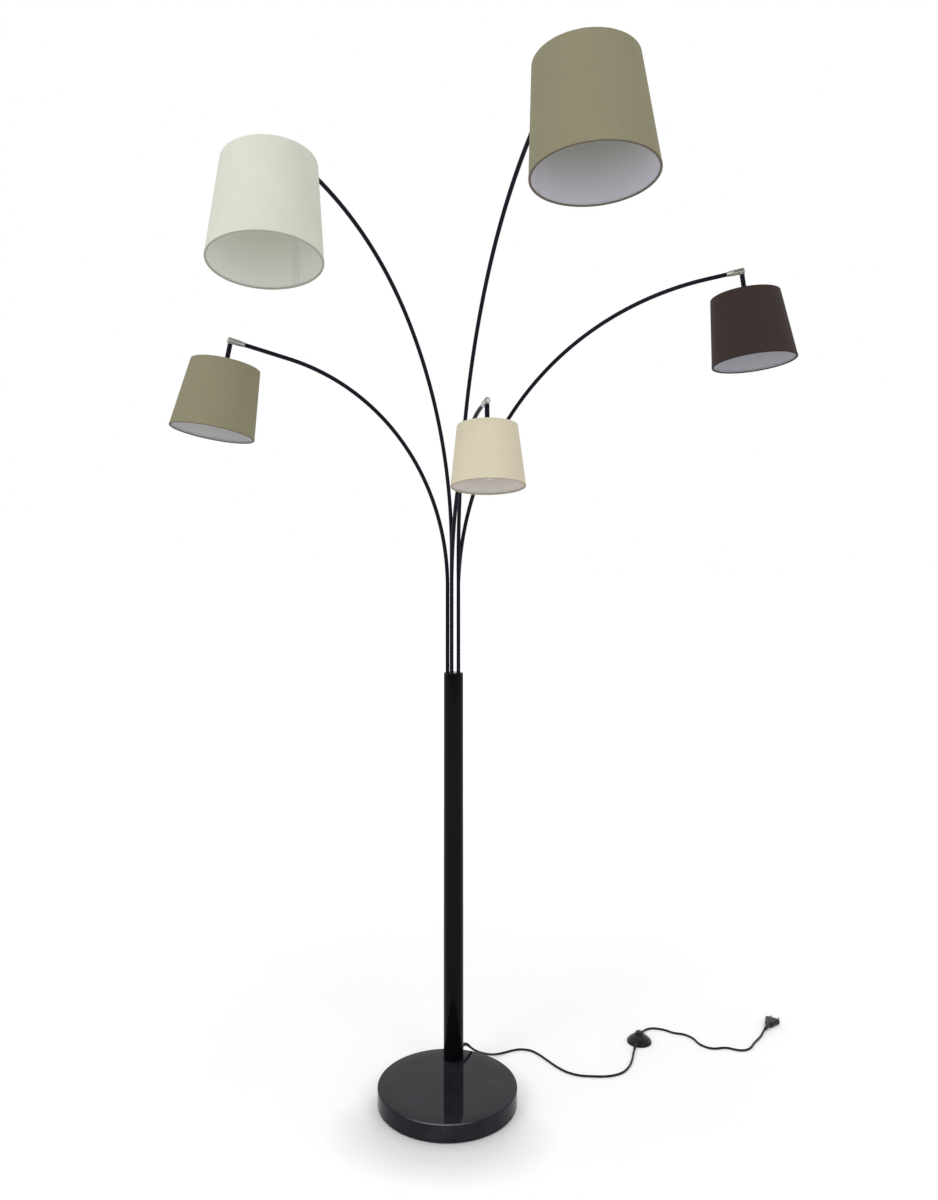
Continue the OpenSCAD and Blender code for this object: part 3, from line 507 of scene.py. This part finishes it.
def lathe(name, profile, finish, place=None, sides=64, swell=None, ring=False):
    """Turns (radius, height) points round Z. A ring profile closes on itself, and the other
    kind starts and ends on the axis. swell adds to the radius at an angle, as a seam does."""
    runs = [0.0]
    for (r0, z0), (r1, z1) in zip(profile, profile[1:] + profile[:1]):
        runs.append(runs[-1] + math.hypot(r1 - r0, z1 - z0))
    middle = profile if ring else profile[1:-1]
    widest = max(r for r, z in profile)
    points, faces, uvs = [], [], []
    for r, z in middle:
        for k in range(sides):
            angle = 2 * math.pi * k / sides
            reach = r + (swell(angle, r, z) if swell else 0)
            points.append((reach * math.cos(angle), reach * math.sin(angle), z))
    step = 2 * math.pi * widest / sides
    faces = grid_faces(len(middle), sides, ring)
    first = 0 if ring else 1
    for i in range(len(faces) // sides):
        for k in range(sides):
            low, high = runs[first + i], runs[first + i + 1]
            uvs += [(k * step, low), ((k + 1) * step, low), ((k + 1) * step, high), (k * step, high)]
    if not ring:
        for row, end, turn in ((0, 0, True), (len(middle) - 1, -1, False)):
            points.append((0, 0, profile[end][1]))
            for k in range(sides):
                a, b = row * sides + k, row * sides + (k + 1) % sides
                faces.append((len(points) - 1, b, a) if turn else (len(points) - 1, a, b))
                at = runs[0] if turn else runs[len(profile) - 1]
                near = runs[1] if turn else runs[len(profile) - 2]
                ends = [((k + 1) * step, near), (k * step, near)]
                uvs += [((k + 0.5) * step, at)] + (ends if turn else ends[::-1])
    return mesh_piece(name, points, faces, uvs, finish, place)


print("the lathe is ready")

# %% [markdown]
# The other two ways: a loft joins rings of points of changing width, and a tube is a
# loft of circles that follows a line without twisting. A profile's corners are eased
# before it is turned, because no real edge is perfectly sharp.

# %% Lofts, tubes and eased profiles


def sections(name, rings, finish, place=None, flat=False):
    """Joins rings of points, which all have as many points, and closes both ends."""
    count = len(rings[0])
    points = [p for ring in rings for p in ring]
    faces = grid_faces(len(rings), count, False)
    faces += [tuple(range(count - 1, -1, -1)), tuple(range(len(points) - count, len(points)))]
    uvs = []
    for face in faces:
        uvs += [(points[i][0] + points[i][1], points[i][2]) for i in face]
    return mesh_piece(name, points, faces, uvs, finish, place, flat)


def tube(name, line, radius, finish, sides=24, place=None):
    """A round bar along a line. radius is one size or one for each point of the line."""
    radii = radius if hasattr(radius, "__len__") else [radius] * len(line)
    forward = (line[1] - line[0]).normalized()
    side = forward.orthogonal().normalized()
    rings = []
    for i, at in enumerate(line):
        ahead = (line[min(i + 1, len(line) - 1)] - line[max(i - 1, 0)]).normalized()
        side = (forward.rotation_difference(ahead) @ side).normalized()
        forward = ahead
        up = forward.cross(side)
        rings.append([at + radii[i] * (math.cos(2 * math.pi * k / sides) * side
                                       + math.sin(2 * math.pi * k / sides) * up) for k in range(sides)])
    return sections(name, rings, finish, place)


def rounded(profile, radius, steps=4):
    """The profile with its inner corners eased by a small radius."""
    points = [Vector(p) for p in profile]
    out = [tuple(points[0])]
    for before, here, after in zip(points, points[1:], points[2:]):
        reach = min(radius, 0.45 * (here - before).length, 0.45 * (after - here).length)
        a, b = here + reach * (before - here).normalized(), here + reach * (after - here).normalized()
        for k in range(steps + 1):
            t = k / steps
            out.append(tuple((1 - t) ** 2 * a + 2 * t * (1 - t) * here + t * t * b))
    return out + [tuple(points[-1])]


def mm(profile):
    return [(r / 1000, z / 1000) for r, z in profile]


print("lofts, tubes and eased profiles are ready")

# %% [markdown]
# Every visible piece rides on one body of the CAD model and names the nodes that it
# stands for, so that it moves with them and they are hidden. Small hidden hardware
# keeps its CAD shape and only gets a better finish.

# %% Tying pieces to the CAD model


def belongs(piece, body, slot, *replaced):
    """Puts a piece on its body, in the place of CAD nodes. The slot argument is not used."""
    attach(piece, body)
    if replaced:
        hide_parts(*replaced)
    return piece


def repaint(node, finish):
    """A better finish on a CAD node whose shape is right."""
    for place in nodes[node].material_slots:
        place.material = finish


print("pieces can be tied to", len(nodes), "nodes")

# %% [markdown]
# Cords first. The free length is what the photograph shows: from the pole's back to the
# foot switch, and from there to where the plug begins.

# %% Cords


def cord_piece(name, line):
    curve = bpy.data.curves.new(name, "CURVE")
    curve.dimensions = "3D"
    curve.bevel_depth, curve.bevel_resolution, curve.use_fill_caps = CORD_D / 2, 5, True
    spline = curve.splines.new("POLY")
    spline.points.add(len(line) - 1)
    for point, at in zip(spline.points, line):
        point.co = (*at, 1)
    curve.materials.append(cord_skin)
    piece = bpy.data.objects.new(name, curve)
    bpy.context.scene.collection.objects.link(piece)
    return piece


cord_a = cord_piece("supply_cord_to_switch", switch_line)
cord_b = cord_piece("supply_cord_to_plug", plug_line)
belongs(cord_a, "stand", "cord_sheath", "cord_to_switch")
belongs(cord_b, "stand", "cord_sheath", "cord_to_plug")


def walk(line, start, length, steps):
    """Points at even distances along a line, from a distance on it."""
    wanted = [start + length * k / steps for k in range(steps + 1)]
    found, gone = [], 0.0
    for a, b in zip(line, line[1:]):
        span = (b - a).length
        while wanted and wanted[0] <= gone + span:
            found.append(a.lerp(b, (wanted.pop(0) - gone) / span))
        gone += span
    return found


def sleeve(name, line, start, length, wide, narrow, ribs=4):
    """A strain relief: a soft tapered sleeve on a cord, with grooves round it, where a real one bends.
    """
    steps = 6 * ribs
    radii = []
    for k in range(steps + 1):
        groove = 0.0004 if k % 6 in (3, 4) and k < steps - 2 else 0
        radii.append((wide + (narrow - wide) * k / steps) / 2 - groove)
    piece = tube(name, walk(line, start, length, steps), radii, matt_black, sides=32)
    return belongs(piece, "stand", "matte_black_plastic")


GLAND_END, SWITCH_RIM = 0.014, 0.0055
sleeve("pole_sleeve", switch_line, GLAND_END, 0.024, 0.0078, 0.0056)
sleeve("switch_sleeve_front", switch_line[::-1], SWITCH_RIM, 0.020, 0.0072, 0.0056)
sleeve("switch_sleeve_back", plug_line, SWITCH_RIM, 0.020, 0.0072, 0.0056)
print("cords and sleeves in place")

# %% [markdown]
# The foot: a thick disc of stone with edges eased on the polishing wheel, a felt sheet
# under it, and the recess in its underside where the tie bolt pulls the pole down. The
# stone is turned as one ring profile that goes over the top and comes back underneath.

# %% Stone foot
at_pole = Matrix.Translation(POLE)
EDGE_R, FELT = 0.0025, stone_low.z


def quarter(r, z, size, start):
    """Points of a quarter turn round (r, z), from an angle in quarters."""
    turns = [math.pi / 2 * (start + k / 6) for k in range(7)]
    return [(r + size * math.cos(a), z + size * math.sin(a)) for a in turns]


rim = STONE_R - EDGE_R
outline = [(0, FELT)] + quarter(rim, FELT + EDGE_R, EDGE_R, -1)
outline += quarter(rim, STONE_TOP - EDGE_R, EDGE_R, 0) + [(0.12, STONE_TOP), (0, STONE_TOP)]
disc = lathe("stone_foot", outline, stone, sides=256)
RECESS = mm([(0, -5), (18, -5), (18, 13), (6.75, 13), (6.75, 60), (0, 60)])
well = lathe("recess_cutter", RECESS, stone, at_pole, 96)
cut = disc.modifiers.new("recess", "BOOLEAN")
cut.operation, cut.object, cut.solver = "DIFFERENCE", well, "EXACT"
bpy.context.view_layer.objects.active = disc
disc.select_set(True)
bpy.ops.object.modifier_apply(modifier=cut.name)
bpy.data.objects.remove(well)
disc.data.shade_smooth()
disc.data.set_sharp_from_angle(angle=math.radians(38))
belongs(disc, "stand", "polished_stone", "base_stone")

# %% [markdown]
# The pole is a steel tube, sprayed black. It stands on the stone, and its cap holds the
# five bent tubes. A tube that is turned with many sides keeps its reflections straight,
# which is what sells a lacquered pole.

# %% Pole and cap
pole_low, pole_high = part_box("pole_tube")
POLE_R, POLE_TOP = (pole_high.x - pole_low.x) / 2, pole_high.z
CAP_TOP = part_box("pole_cap")[1].z
shaft = rounded([(0, STONE_TOP), (POLE_R, STONE_TOP), (POLE_R, POLE_TOP), (0, POLE_TOP)], 0.0006)
belongs(lathe("pole_shaft", shaft, lacquer, at_pole, 128), "stand", "black_lacquer", "pole_tube")
crown = rounded([(0, POLE_TOP - 0.01), (POLE_R - 0.002, POLE_TOP - 0.01),
                 (POLE_R - 0.002, POLE_TOP - 0.0002),
                 (POLE_R - 0.0002, POLE_TOP + 0.0001), (POLE_R - 0.0002, CAP_TOP - 0.0012),
                 (POLE_R - 0.0025, CAP_TOP), (0, CAP_TOP)], 0.0008)
belongs(lathe("pole_crown", crown, lacquer, at_pole, 128), "stand", "black_lacquer", "pole_cap")
for node, finish in (("cord_gland", matt_black), ("base_felt", felt), ("tie_bolt", steel),
                     ("tie_washer", steel), ("pole_foot_plug", steel),
                     ("lead_connector", white_plastic)):
    repaint(node, finish)
print("pole from", round(STONE_TOP, 4), "to", round(CAP_TOP, 4))

# %% [markdown]
# Each arm rises straight out of the cap, leans over in two arcs of different radius and
# ends straight in its elbow. The joints of the CAD model say where each arm stands, and
# its row in the table gives the rest: which way it leans, the height where the bend
# starts, the two radii, the angle, the straight end and the head's small roll.

# %% Arms


class Arm:
    def __init__(self, name, turn, bend_z, radii, bend, end, roll, shade, cloth):
        self.name, self.turn, self.bend_z, self.radii = name, math.radians(turn), bend_z, radii
        self.bend, self.end, self.roll = math.radians(bend), end, math.radians(roll)
        self.shade, self.cloth = shade, cloth
        joints = {j["name"]: j for j in frame["joints"]}
        self.foot = Vector(joints["turn_" + name]["pos_m"])
        self.elbow = Vector(joints["swing_" + name]["pos_m"])
        lean = Matrix.Rotation(self.turn, 4, "Z")
        self.place = Matrix.Translation(Vector((self.foot.x, self.foot.y, 0))) @ lean
        tip = Matrix.Rotation(self.bend - math.pi / 2, 4, "Y") @ Matrix.Rotation(self.roll, 4, "X")
        self.head = Matrix.Translation(self.elbow) @ lean @ tip

    def line(self):
        """The arm's centre line from its foot, with +X the way that it leans."""
        first, second = self.radii
        half = self.bend / 2
        out = [Vector((0, 0, CAP_TOP - 0.004)), Vector((0, 0, CAP_TOP + 0.05))]
        steps = 34
        for k in range(steps + 1):
            a = half * k / steps
            out.append(Vector((first * (1 - math.cos(a)), 0, self.bend_z + first * math.sin(a))))
        mid = out[-1]
        for k in range(1, steps + 1):
            a = half + half * k / steps
            across, rise = math.cos(half) - math.cos(a), math.sin(a) - math.sin(half)
            out.append(mid + second * Vector((across, 0, rise)))
        ahead = Vector((math.sin(self.bend), 0, math.cos(self.bend)))
        return out + [out[-1] + (self.end - IN_ELBOW) * ahead]


TUBE_R, IN_ELBOW = 0.0045, 0.012
ARMS = [
    Arm("low_left", -139.5, 1.098, (0.503, 0.497), 79, 0.132, 0, SMALL, "olive"),
    Arm("low_right", -19, 1.083, (0.691, 0.652), 83, 0.072, -2, SMALL, "brown"),
    Arm("front", -69.5, 1.098, (0.454, 0.269), 80, 0.040, -2, CREAM, "cream"),
    Arm("high_left", -115, 1.174, (0.825, 0.687), 78.5, 0.053, 8, LARGE, "ivory"),
    Arm("high_right", -68, 1.160, (0.905, 0.809), 81, 0.062, 0, LARGE, "olive"),
]
for arm in ARMS:
    bar = tube("bent_tube_" + arm.name, arm.line(), TUBE_R, tube_lacquer, 32, arm.place)
    belongs(bar, "arm_of_" + arm.name, "black_lacquer", "arm_" + arm.name)
    short = (arm.place @ arm.line()[-1] - arm.elbow).length * 1000
    print(arm.name, "tube ends", round(short, 1), "mm before the elbow's middle")

# %% [markdown]
# An elbow is a turned nickel barrel, tapered at the back where the arm enters and
# domed a little at the front, with a boss below for the stem. The shade can swing from
# side to side on it. The barrel is turned round Z and laid along X by its matrix.

# %% Elbows and stems
ELBOW_R, BARREL, NOSE = 6.5, 29.5, 6.5
STEM_R, BOSS_Z, HOLDER_Z = 5.0, -8.0, -70.0
barrel_profile = mm(rounded([(0, -BARREL), (5.35, -BARREL), (6.1, -BARREL + 8), (ELBOW_R, -BARREL + 15),
                             (ELBOW_R, NOSE - 1.2), (ELBOW_R - 1.4, NOSE), (0, NOSE)], 0.9))
boss_profile = mm(rounded([(0, BOSS_Z), (5.5, BOSS_Z), (5.5, BOSS_Z + 1.4), (5.0, BOSS_Z + 1.9),
                           (5.0, -1), (0, -1)], 0.35))
stem_profile = mm(rounded([(0, HOLDER_Z - 6), (STEM_R, HOLDER_Z - 6), (STEM_R, BOSS_Z),
                           (0, BOSS_Z)], 0.3))
along_x = Matrix.Rotation(math.pi / 2, 4, "Y")
for arm in ARMS:
    body = "head_of_" + arm.name
    barrel = lathe("elbow_barrel_" + arm.name, barrel_profile, nickel, arm.head @ along_x, 64)
    belongs(barrel, body, "brushed_nickel", "elbow_" + arm.name)
    boss = lathe("elbow_boss_" + arm.name, boss_profile, nickel, arm.head, 64)
    belongs(boss, body, "brushed_nickel", "elbow_" + arm.name)
    stem = lathe("stem_bar_" + arm.name, stem_profile, tube_lacquer, arm.head, 64)
    belongs(stem, body, "black_lacquer", "stem_" + arm.name)
print("elbows and stems:", len(ARMS))

# %% [markdown]
# Under each stem hangs a lampholder with a threaded skirt. A ring screwed up that skirt
# clamps the wire frame's washer against its flange, and the bulb is screwed in from
# below. Threads are real ridges here, a few tenths of a millimetre deep.

# %% Lampholders and bulbs


def ridges(start, end, radius, depth, pitch):
    """A run of rounded thread ridges along a turned profile."""
    count = int(abs(end - start) / pitch)
    step = (end - start) / (4 * count)
    lift = (0, 0.7, 1, 0.7)
    return [(radius - depth + depth * lift[k % 4], start + k * step) for k in range(4 * count)]


top = HOLDER_Z
holder_profile = rounded([(0, top), (7, top), (8, top - 1.5), (13, top - 6), (14.5, top - 9),
                          (14.5, top - 14), (16, top - 14), (16, top - 16), (13.6, top - 16)], 0.5)
holder_profile += ridges(top - 17, top - 44, 13.9, 0.5, 2.5)
holder_profile += rounded([(13.4, top - 44), (13.4, top - 46), (7.4, top - 46), (7.4, top - 18),
                           (0, top - 18)], 0.5)
CAP_R, BALL_R, BULB_TOP, BULB_LONG = 6.9, 22.5, top - 18.2, 78
neck_z, ball_z = BULB_TOP - 28.5, BULB_TOP - BULB_LONG + BALL_R
shoulder = [math.radians(38 - 4 * k) for k in range(32)]
bulb_profile = [(0, neck_z + 1), (CAP_R + 0.4, neck_z + 1), (CAP_R + 0.6, neck_z)]
for k in range(1, 9):
    t = k / 9
    ease = t * t * (3 - 2 * t)
    bulb_profile.append((CAP_R + 0.6 + (BALL_R * math.cos(shoulder[0]) - CAP_R - 0.6) * ease,
                         neck_z + (ball_z + BALL_R * math.sin(shoulder[0]) - neck_z) * t))
bulb_profile += [(BALL_R * math.cos(a), ball_z + BALL_R * math.sin(a)) for a in shoulder]
bulb_profile += [(0, ball_z - BALL_R)]
cap_profile = [(0, BULB_TOP), (2.4, BULB_TOP), (2.6, BULB_TOP - 1.5), (CAP_R - 0.8, BULB_TOP - 3.5)]
cap_profile += ridges(BULB_TOP - 4, neck_z + 4, CAP_R, 0.6, 2.8)
cap_profile += [(CAP_R, neck_z + 3), (CAP_R, neck_z - 0.5), (0, neck_z - 0.5)]
for arm in ARMS:
    body = "head_of_" + arm.name
    belongs(lathe("lampholder_" + arm.name, mm(holder_profile), gloss_black, arm.head, 72), body,
            "black_plastic", "holder_" + arm.name)
    belongs(lathe("bulb_globe_" + arm.name, mm(bulb_profile), glass, arm.head, 72), body,
            "opal_bulb", "bulb_" + arm.name)
    belongs(lathe("bulb_cap_" + arm.name, mm(cap_profile), brass, arm.head, 64), body,
            "opal_bulb", "bulb_" + arm.name)
    repaint("clamp_ring_" + arm.name, matt_black)
    repaint("wire_frame_" + arm.name, white_enamel)
print("bulb hangs to", ball_z - BALL_R, "mm below the elbow")

# %% [markdown]
# A shade is two skins. Outside is the cotton, cut as a wide ring sector, glued round
# the lining and turned in over the wire ring at both edges, where it makes a bead.
# Inside is the white lining, a stiff sheet bent round and lapped over itself. Both are
# lathes: the cloth's lap shows as a small step at one angle, the lining's as a darker band.

# %% Shades
CLOTH_T, LINING_T = 0.0004, 0.0003
SEAM_TURN = {"low_left": 230, "low_right": 109, "front": 160, "high_left": 189, "high_right": 221}


def hem(r, z, low):
    """The cloth's turn-in round the wire ring, from the wall to the inside."""
    up = 1 if low else -1
    return rounded([(r, z + up * 0.003), (r, z), (r - HEM_W, z), (r - HEM_W, z + up * HEM_UP)], 0.0011)


def step_at(turn, width, height, low_z, high_z):
    """A lap of cloth at one angle: a soft step up and a soft step down, on the wall alone."""
    def swell(angle, r, z):
        if not low_z < z < high_z:
            return 0.0
        off = (angle - math.radians(turn) + math.pi) % (2 * math.pi) - math.pi
        return height * max(0.0, min(1.0, (width / 2 - abs(off) * r) / 0.0012))
    return swell


def shade_skins(arm):
    low_d, top_d, height = arm.shade
    low_z, low_r, top_r = RIM_Z - height, low_d / 2, top_d / 2
    hug = 0.0001
    outer = hem(low_r, low_z, True)[::-1]
    for t in (0.04, 0.06, 0.25, 0.5, 0.75, 0.94, 0.96):
        outer.append((low_r + (top_r - low_r) * t - hug, low_z + height * t))
    outer += hem(top_r, RIM_Z, False)
    inner = []
    line = [Vector(p) for p in outer]
    for i, here in enumerate(line):
        ahead = (line[min(i + 1, len(line) - 1)] - line[max(i - 1, 0)]).normalized()
        inner.append(tuple(here + CLOTH_T * Vector((-ahead.y, ahead.x))))
    profile = outer + inner[::-1]
    cloth = lathe("shade_cloth_" + arm.name, profile, COTTONS[arm.cloth], arm.head, 192,
                  step_at(SEAM_TURN[arm.name], 0.012, 0.0003, low_z + 0.006, RIM_Z - 0.006), ring=True)
    slant = math.hypot(height, low_r - top_r)
    turned = HEM_W + HEM_UP
    cut = (math.pi * low_d, slant + 2 * turned)
    area = math.pi * (low_r + top_r) * slant + math.pi * (low_d + top_d) * turned
    back, edge = hug + CLOTH_T + 0.00005, 0.001
    taper = (low_r - top_r) * edge / height
    low_in, top_in = low_r - taper - back, top_r + taper - back
    film = [(low_in, low_z + edge), (top_in, RIM_Z - edge), (top_in - LINING_T, RIM_Z - edge),
            (low_in - LINING_T, low_z + edge)]
    inside = lathe("shade_lining_" + arm.name, film, LININGS[arm.name], arm.head, 192, ring=True)
    body = "head_of_" + arm.name
    belongs(cloth, body, arm.cloth + "_cloth", "shade_" + arm.name)
    belongs(inside, body, "white_plastic", "shade_" + arm.name)
    return slant, cut


for arm in ARMS:
    slant, cut = shade_skins(arm)
    print(arm.name, "cloth cut", [round(c, 3) for c in cut], "slant", round(slant, 3))

# %% [markdown]
# The foot switch is a low plastic dome, pressed with a toe. The dome is a ball's crown
# over a short wall, with a raised ring round the button. The push button sits on the
# body of its own joint, so it can go down three millimetres.

# %% Foot switch
at_switch = Matrix.Translation(Vector((SWITCH.x, SWITCH.y, 0))) @ Matrix.Rotation(SWITCH_TURN, 4, "Z")
SWITCH_R, WALL_Z, DOME_TOP, BALL = 29.0, 3.2, 19.0, 35.533
dome_profile = [(0, WALL_Z), (SWITCH_R - 0.6, WALL_Z), (SWITCH_R, WALL_Z + 0.5)]
low_angle = math.asin(SWITCH_R / BALL)
for k in range(15):
    a = low_angle * (1 - k / 14 * 0.6)
    dome_profile.append((BALL * math.sin(a), DOME_TOP - BALL + BALL * math.cos(a)))
dome_profile += rounded([dome_profile[-1], (11.0, 17.4), (11.0, 19.6), (8.7, 19.6), (8.7, 12),
                         (0, 12)], 0.35)[1:]
cover = lathe("switch_dome", mm(dome_profile), gloss_black, at_switch, 96)
belongs(cover, "stand", "black_plastic", "switch_cover")
LOW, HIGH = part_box("switch_button")[0].z * 1000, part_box("switch_button")[1].z * 1000
button_profile = rounded([(0, LOW), (10, LOW), (10, LOW + 1.2), (8.5, LOW + 1.2), (8.5, HIGH - 1.6),
                          (7.2, HIGH - 0.5), (4, HIGH - 0.1), (0, HIGH)], 0.6)
button = lathe("switch_push", mm(button_profile), gloss_black, at_switch, 72)
belongs(button, "button", "black_plastic", "switch_button")
repaint("switch_plate", matt_black)
repaint("switch_spring", steel)
print("switch stands", HIGH, "mm high")

# %% [markdown]
# A plain moulded plug ends the cord. Its body is a loft: the sections are rounded
# rectangles that start as a round neck on the cord and widen to the grip.

# %% Plug
at_plug = Matrix.Translation(PLUG) @ Matrix.Rotation(PLUG_TURN, 4, "Z")
NECK, GRIP, PIN_Y = 0.022, 0.036, 0.0093


def section(x, wide, thick, square):
    """A ring between a circle and a rounded rectangle: the higher square, the flatter its sides."""
    out = []
    for k in range(48):
        a = 2 * math.pi * k / 48
        c, s = math.cos(a), math.sin(a)
        out.append(Vector((x, wide / 2 * math.copysign(abs(c) ** (2 / square), c),
                           thick / 2 * math.copysign(abs(s) ** (2 / square), s))))
    return out


rings = []
for k in range(13):
    t = k / 12
    groove = 0.0006 if k in (2, 5, 8) else 0
    size = 0.0078 + 0.0035 * t - groove
    rings.append(section(NECK * t, size, size, 2))
GRIP_SECTIONS = (
    (0.03, 0.0150, 0.0118, 2.3), (0.12, 0.0195, 0.0124, 2.8), (0.3, 0.0235, 0.0128, 3.2),
    (0.5, 0.0265, 0.0131, 3.6), (0.68, 0.0305, 0.0134, 4.0), (0.8, 0.0345, 0.0135, 4.4),
    (0.94, 0.0350, 0.0135, 4.8), (0.985, 0.0346, 0.0131, 4.8), (1.0, 0.0336, 0.0121, 4.8))
for t, wide, thick, square in GRIP_SECTIONS:
    rings.append(section(NECK + GRIP * t, wide, thick, square))
plug = sections("plug_grip", rings, gloss_black, at_plug)
belongs(plug, "stand", "black_plastic", "plug_body")
pin_profile = mm(rounded([(0, -6), (2, -6), (2, 17.4), (1.5, 18.7), (0, 19)], 0.5))
for tag, y in (("left", PIN_Y), ("right", -PIN_Y)):
    place = at_plug @ Matrix.Translation((NECK + GRIP, y, 0)) @ along_x
    pin = lathe("plug_pin_" + tag, pin_profile, steel, place, 48)
    belongs(pin, "stand", "bright_steel", "plug_pins")

length_of(switch_line)
length_of(plug_line)
print("plug in place")

# %% [markdown]
# A photographer's cove: a white floor that runs out into a white backdrop. The floor
# shows a little more than the light it gets, to the eye and in reflections only, so
# that it ends as white as the backdrop. Near the foot, and further out in front of it,
# that glow fades to nothing: a painted shadow that adds to the soft shadow on the floor.

# %% Floor


def floor_finish():
    f = Finish("white_cove")
    scuff = f.noise(f.place(), 6, 4.0)
    tone = f.mix(f.add("Clamp", Value=scuff), paint(251, 251, 251), paint(254, 254, 254))
    plain = f.add("BsdfPrincipled", Base_Color=tone, Roughness=0.9)
    x, y, z = f.parts(f.place())
    away = f.add("Clamp", Value=(x * x + y * y - 0.3) / 6)
    # Painted shadow: an oval round the foot, reaching further in front of it, inside which the glow
    # fades to nothing.
    painted_shadow_spread = (x * x / 2 + (y + 0.12) * (y + 0.12)).root()
    clear = f.add("Clamp", Value=(painted_shadow_spread - 0.09) / 0.085)
    glow_with_painted_shadow = f.mix(clear, (0, 0, 0, 1), f.mix(away, GLOW_NEAR, GLOW_FAR))
    glow = f.add("Emission", Color=glow_with_painted_shadow, Strength=1.0)
    direct = f.add("LightPath", out="Is Camera Ray") + f.add("LightPath", out="Is Glossy Ray")
    direct = f.add("Clamp", Value=direct)
    adder = f.add("AddShader").socket.node
    join(adder.inputs[0], plain)
    join(adder.inputs[1], f.blend(direct, None, glow))
    f.add("OutputMaterial", Surface=Wire(adder.outputs[0]))
    return f.material


FLOOR_HALF, GLOW_NEAR, GLOW_FAR = 30.0, (0.2, 0.2, 0.2, 1), (0.5, 0.5, 0.5, 1)
unit_square = [(0, 0), (1, 0), (1, 1), (0, 1)]
floor_corners = [(FLOOR_HALF * (2 * u - 1), FLOOR_HALF * (2 * v - 1), 0) for u, v in unit_square]
ground = mesh_piece("cove_floor", floor_corners, [(0, 1, 2, 3)], unit_square, floor_finish(),
                    flat=True)
print("floor laid:", ground.name)

# %% [markdown]
# Most of the light comes from all round, as from a white room, and two large soft
# lamps high in front of the lamp, left and right, model the shades. What the eye sees
# of the room is white. Glossy metal and stone see it darker behind the photographer.

# %% Room and lamps


class Room(Finish):
    """The world, written with the same add method as a material."""

    def __init__(self, name):
        self.world = bpy.data.worlds.new(name)
        self.world.use_nodes = True
        self.tree = self.world.node_tree
        self.tree.nodes.clear()
        bpy.context.scene.world = self.world


room = Room("white_room")
x, y, z = room.parts(room.add("TexCoord", out="Generated"))
seen = room.add("LightPath", out="Is Camera Ray")
ahead = room.add("Clamp", Value=y * 1.4 + 0.75 + seen * 2)
seen_tone = room.mix(ahead, paint(122, 122, 126), (1, 1, 1, 1))
even = room.add("Background", Color=(1, 1, 1, 1), Strength=0.7)
shown = room.add("Background", Color=seen_tone, Strength=1.0)
direct = seen + room.add("LightPath", out="Is Glossy Ray")
direct = room.add("Clamp", Value=direct + room.add("LightPath", out="Is Transmission Ray"))
room.add("OutputWorld", Surface=room.blend(direct, even, shown))


def soft_lamp(name, place, aim, size, power):
    lamp = bpy.data.lights.new(name, "AREA")
    lamp.shape, lamp.size, lamp.energy = "DISK", size, power
    piece = bpy.data.objects.new(name, lamp)
    piece.location = place
    piece.rotation_euler = (Vector(aim) - Vector(place)).to_track_quat("-Z", "Y").to_euler()
    bpy.context.scene.collection.objects.link(piece)


soft_lamp("key_lamp", (-2.2, -3.0, 3.2), (0, 0, 0.9), 1.8, 32)
soft_lamp("fill_lamp", (2.4, -3.0, 2.8), (0, 0, 1.2), 2.2, 20)
bpy.context.scene.view_settings.view_transform = "Standard"
print("stage lit")
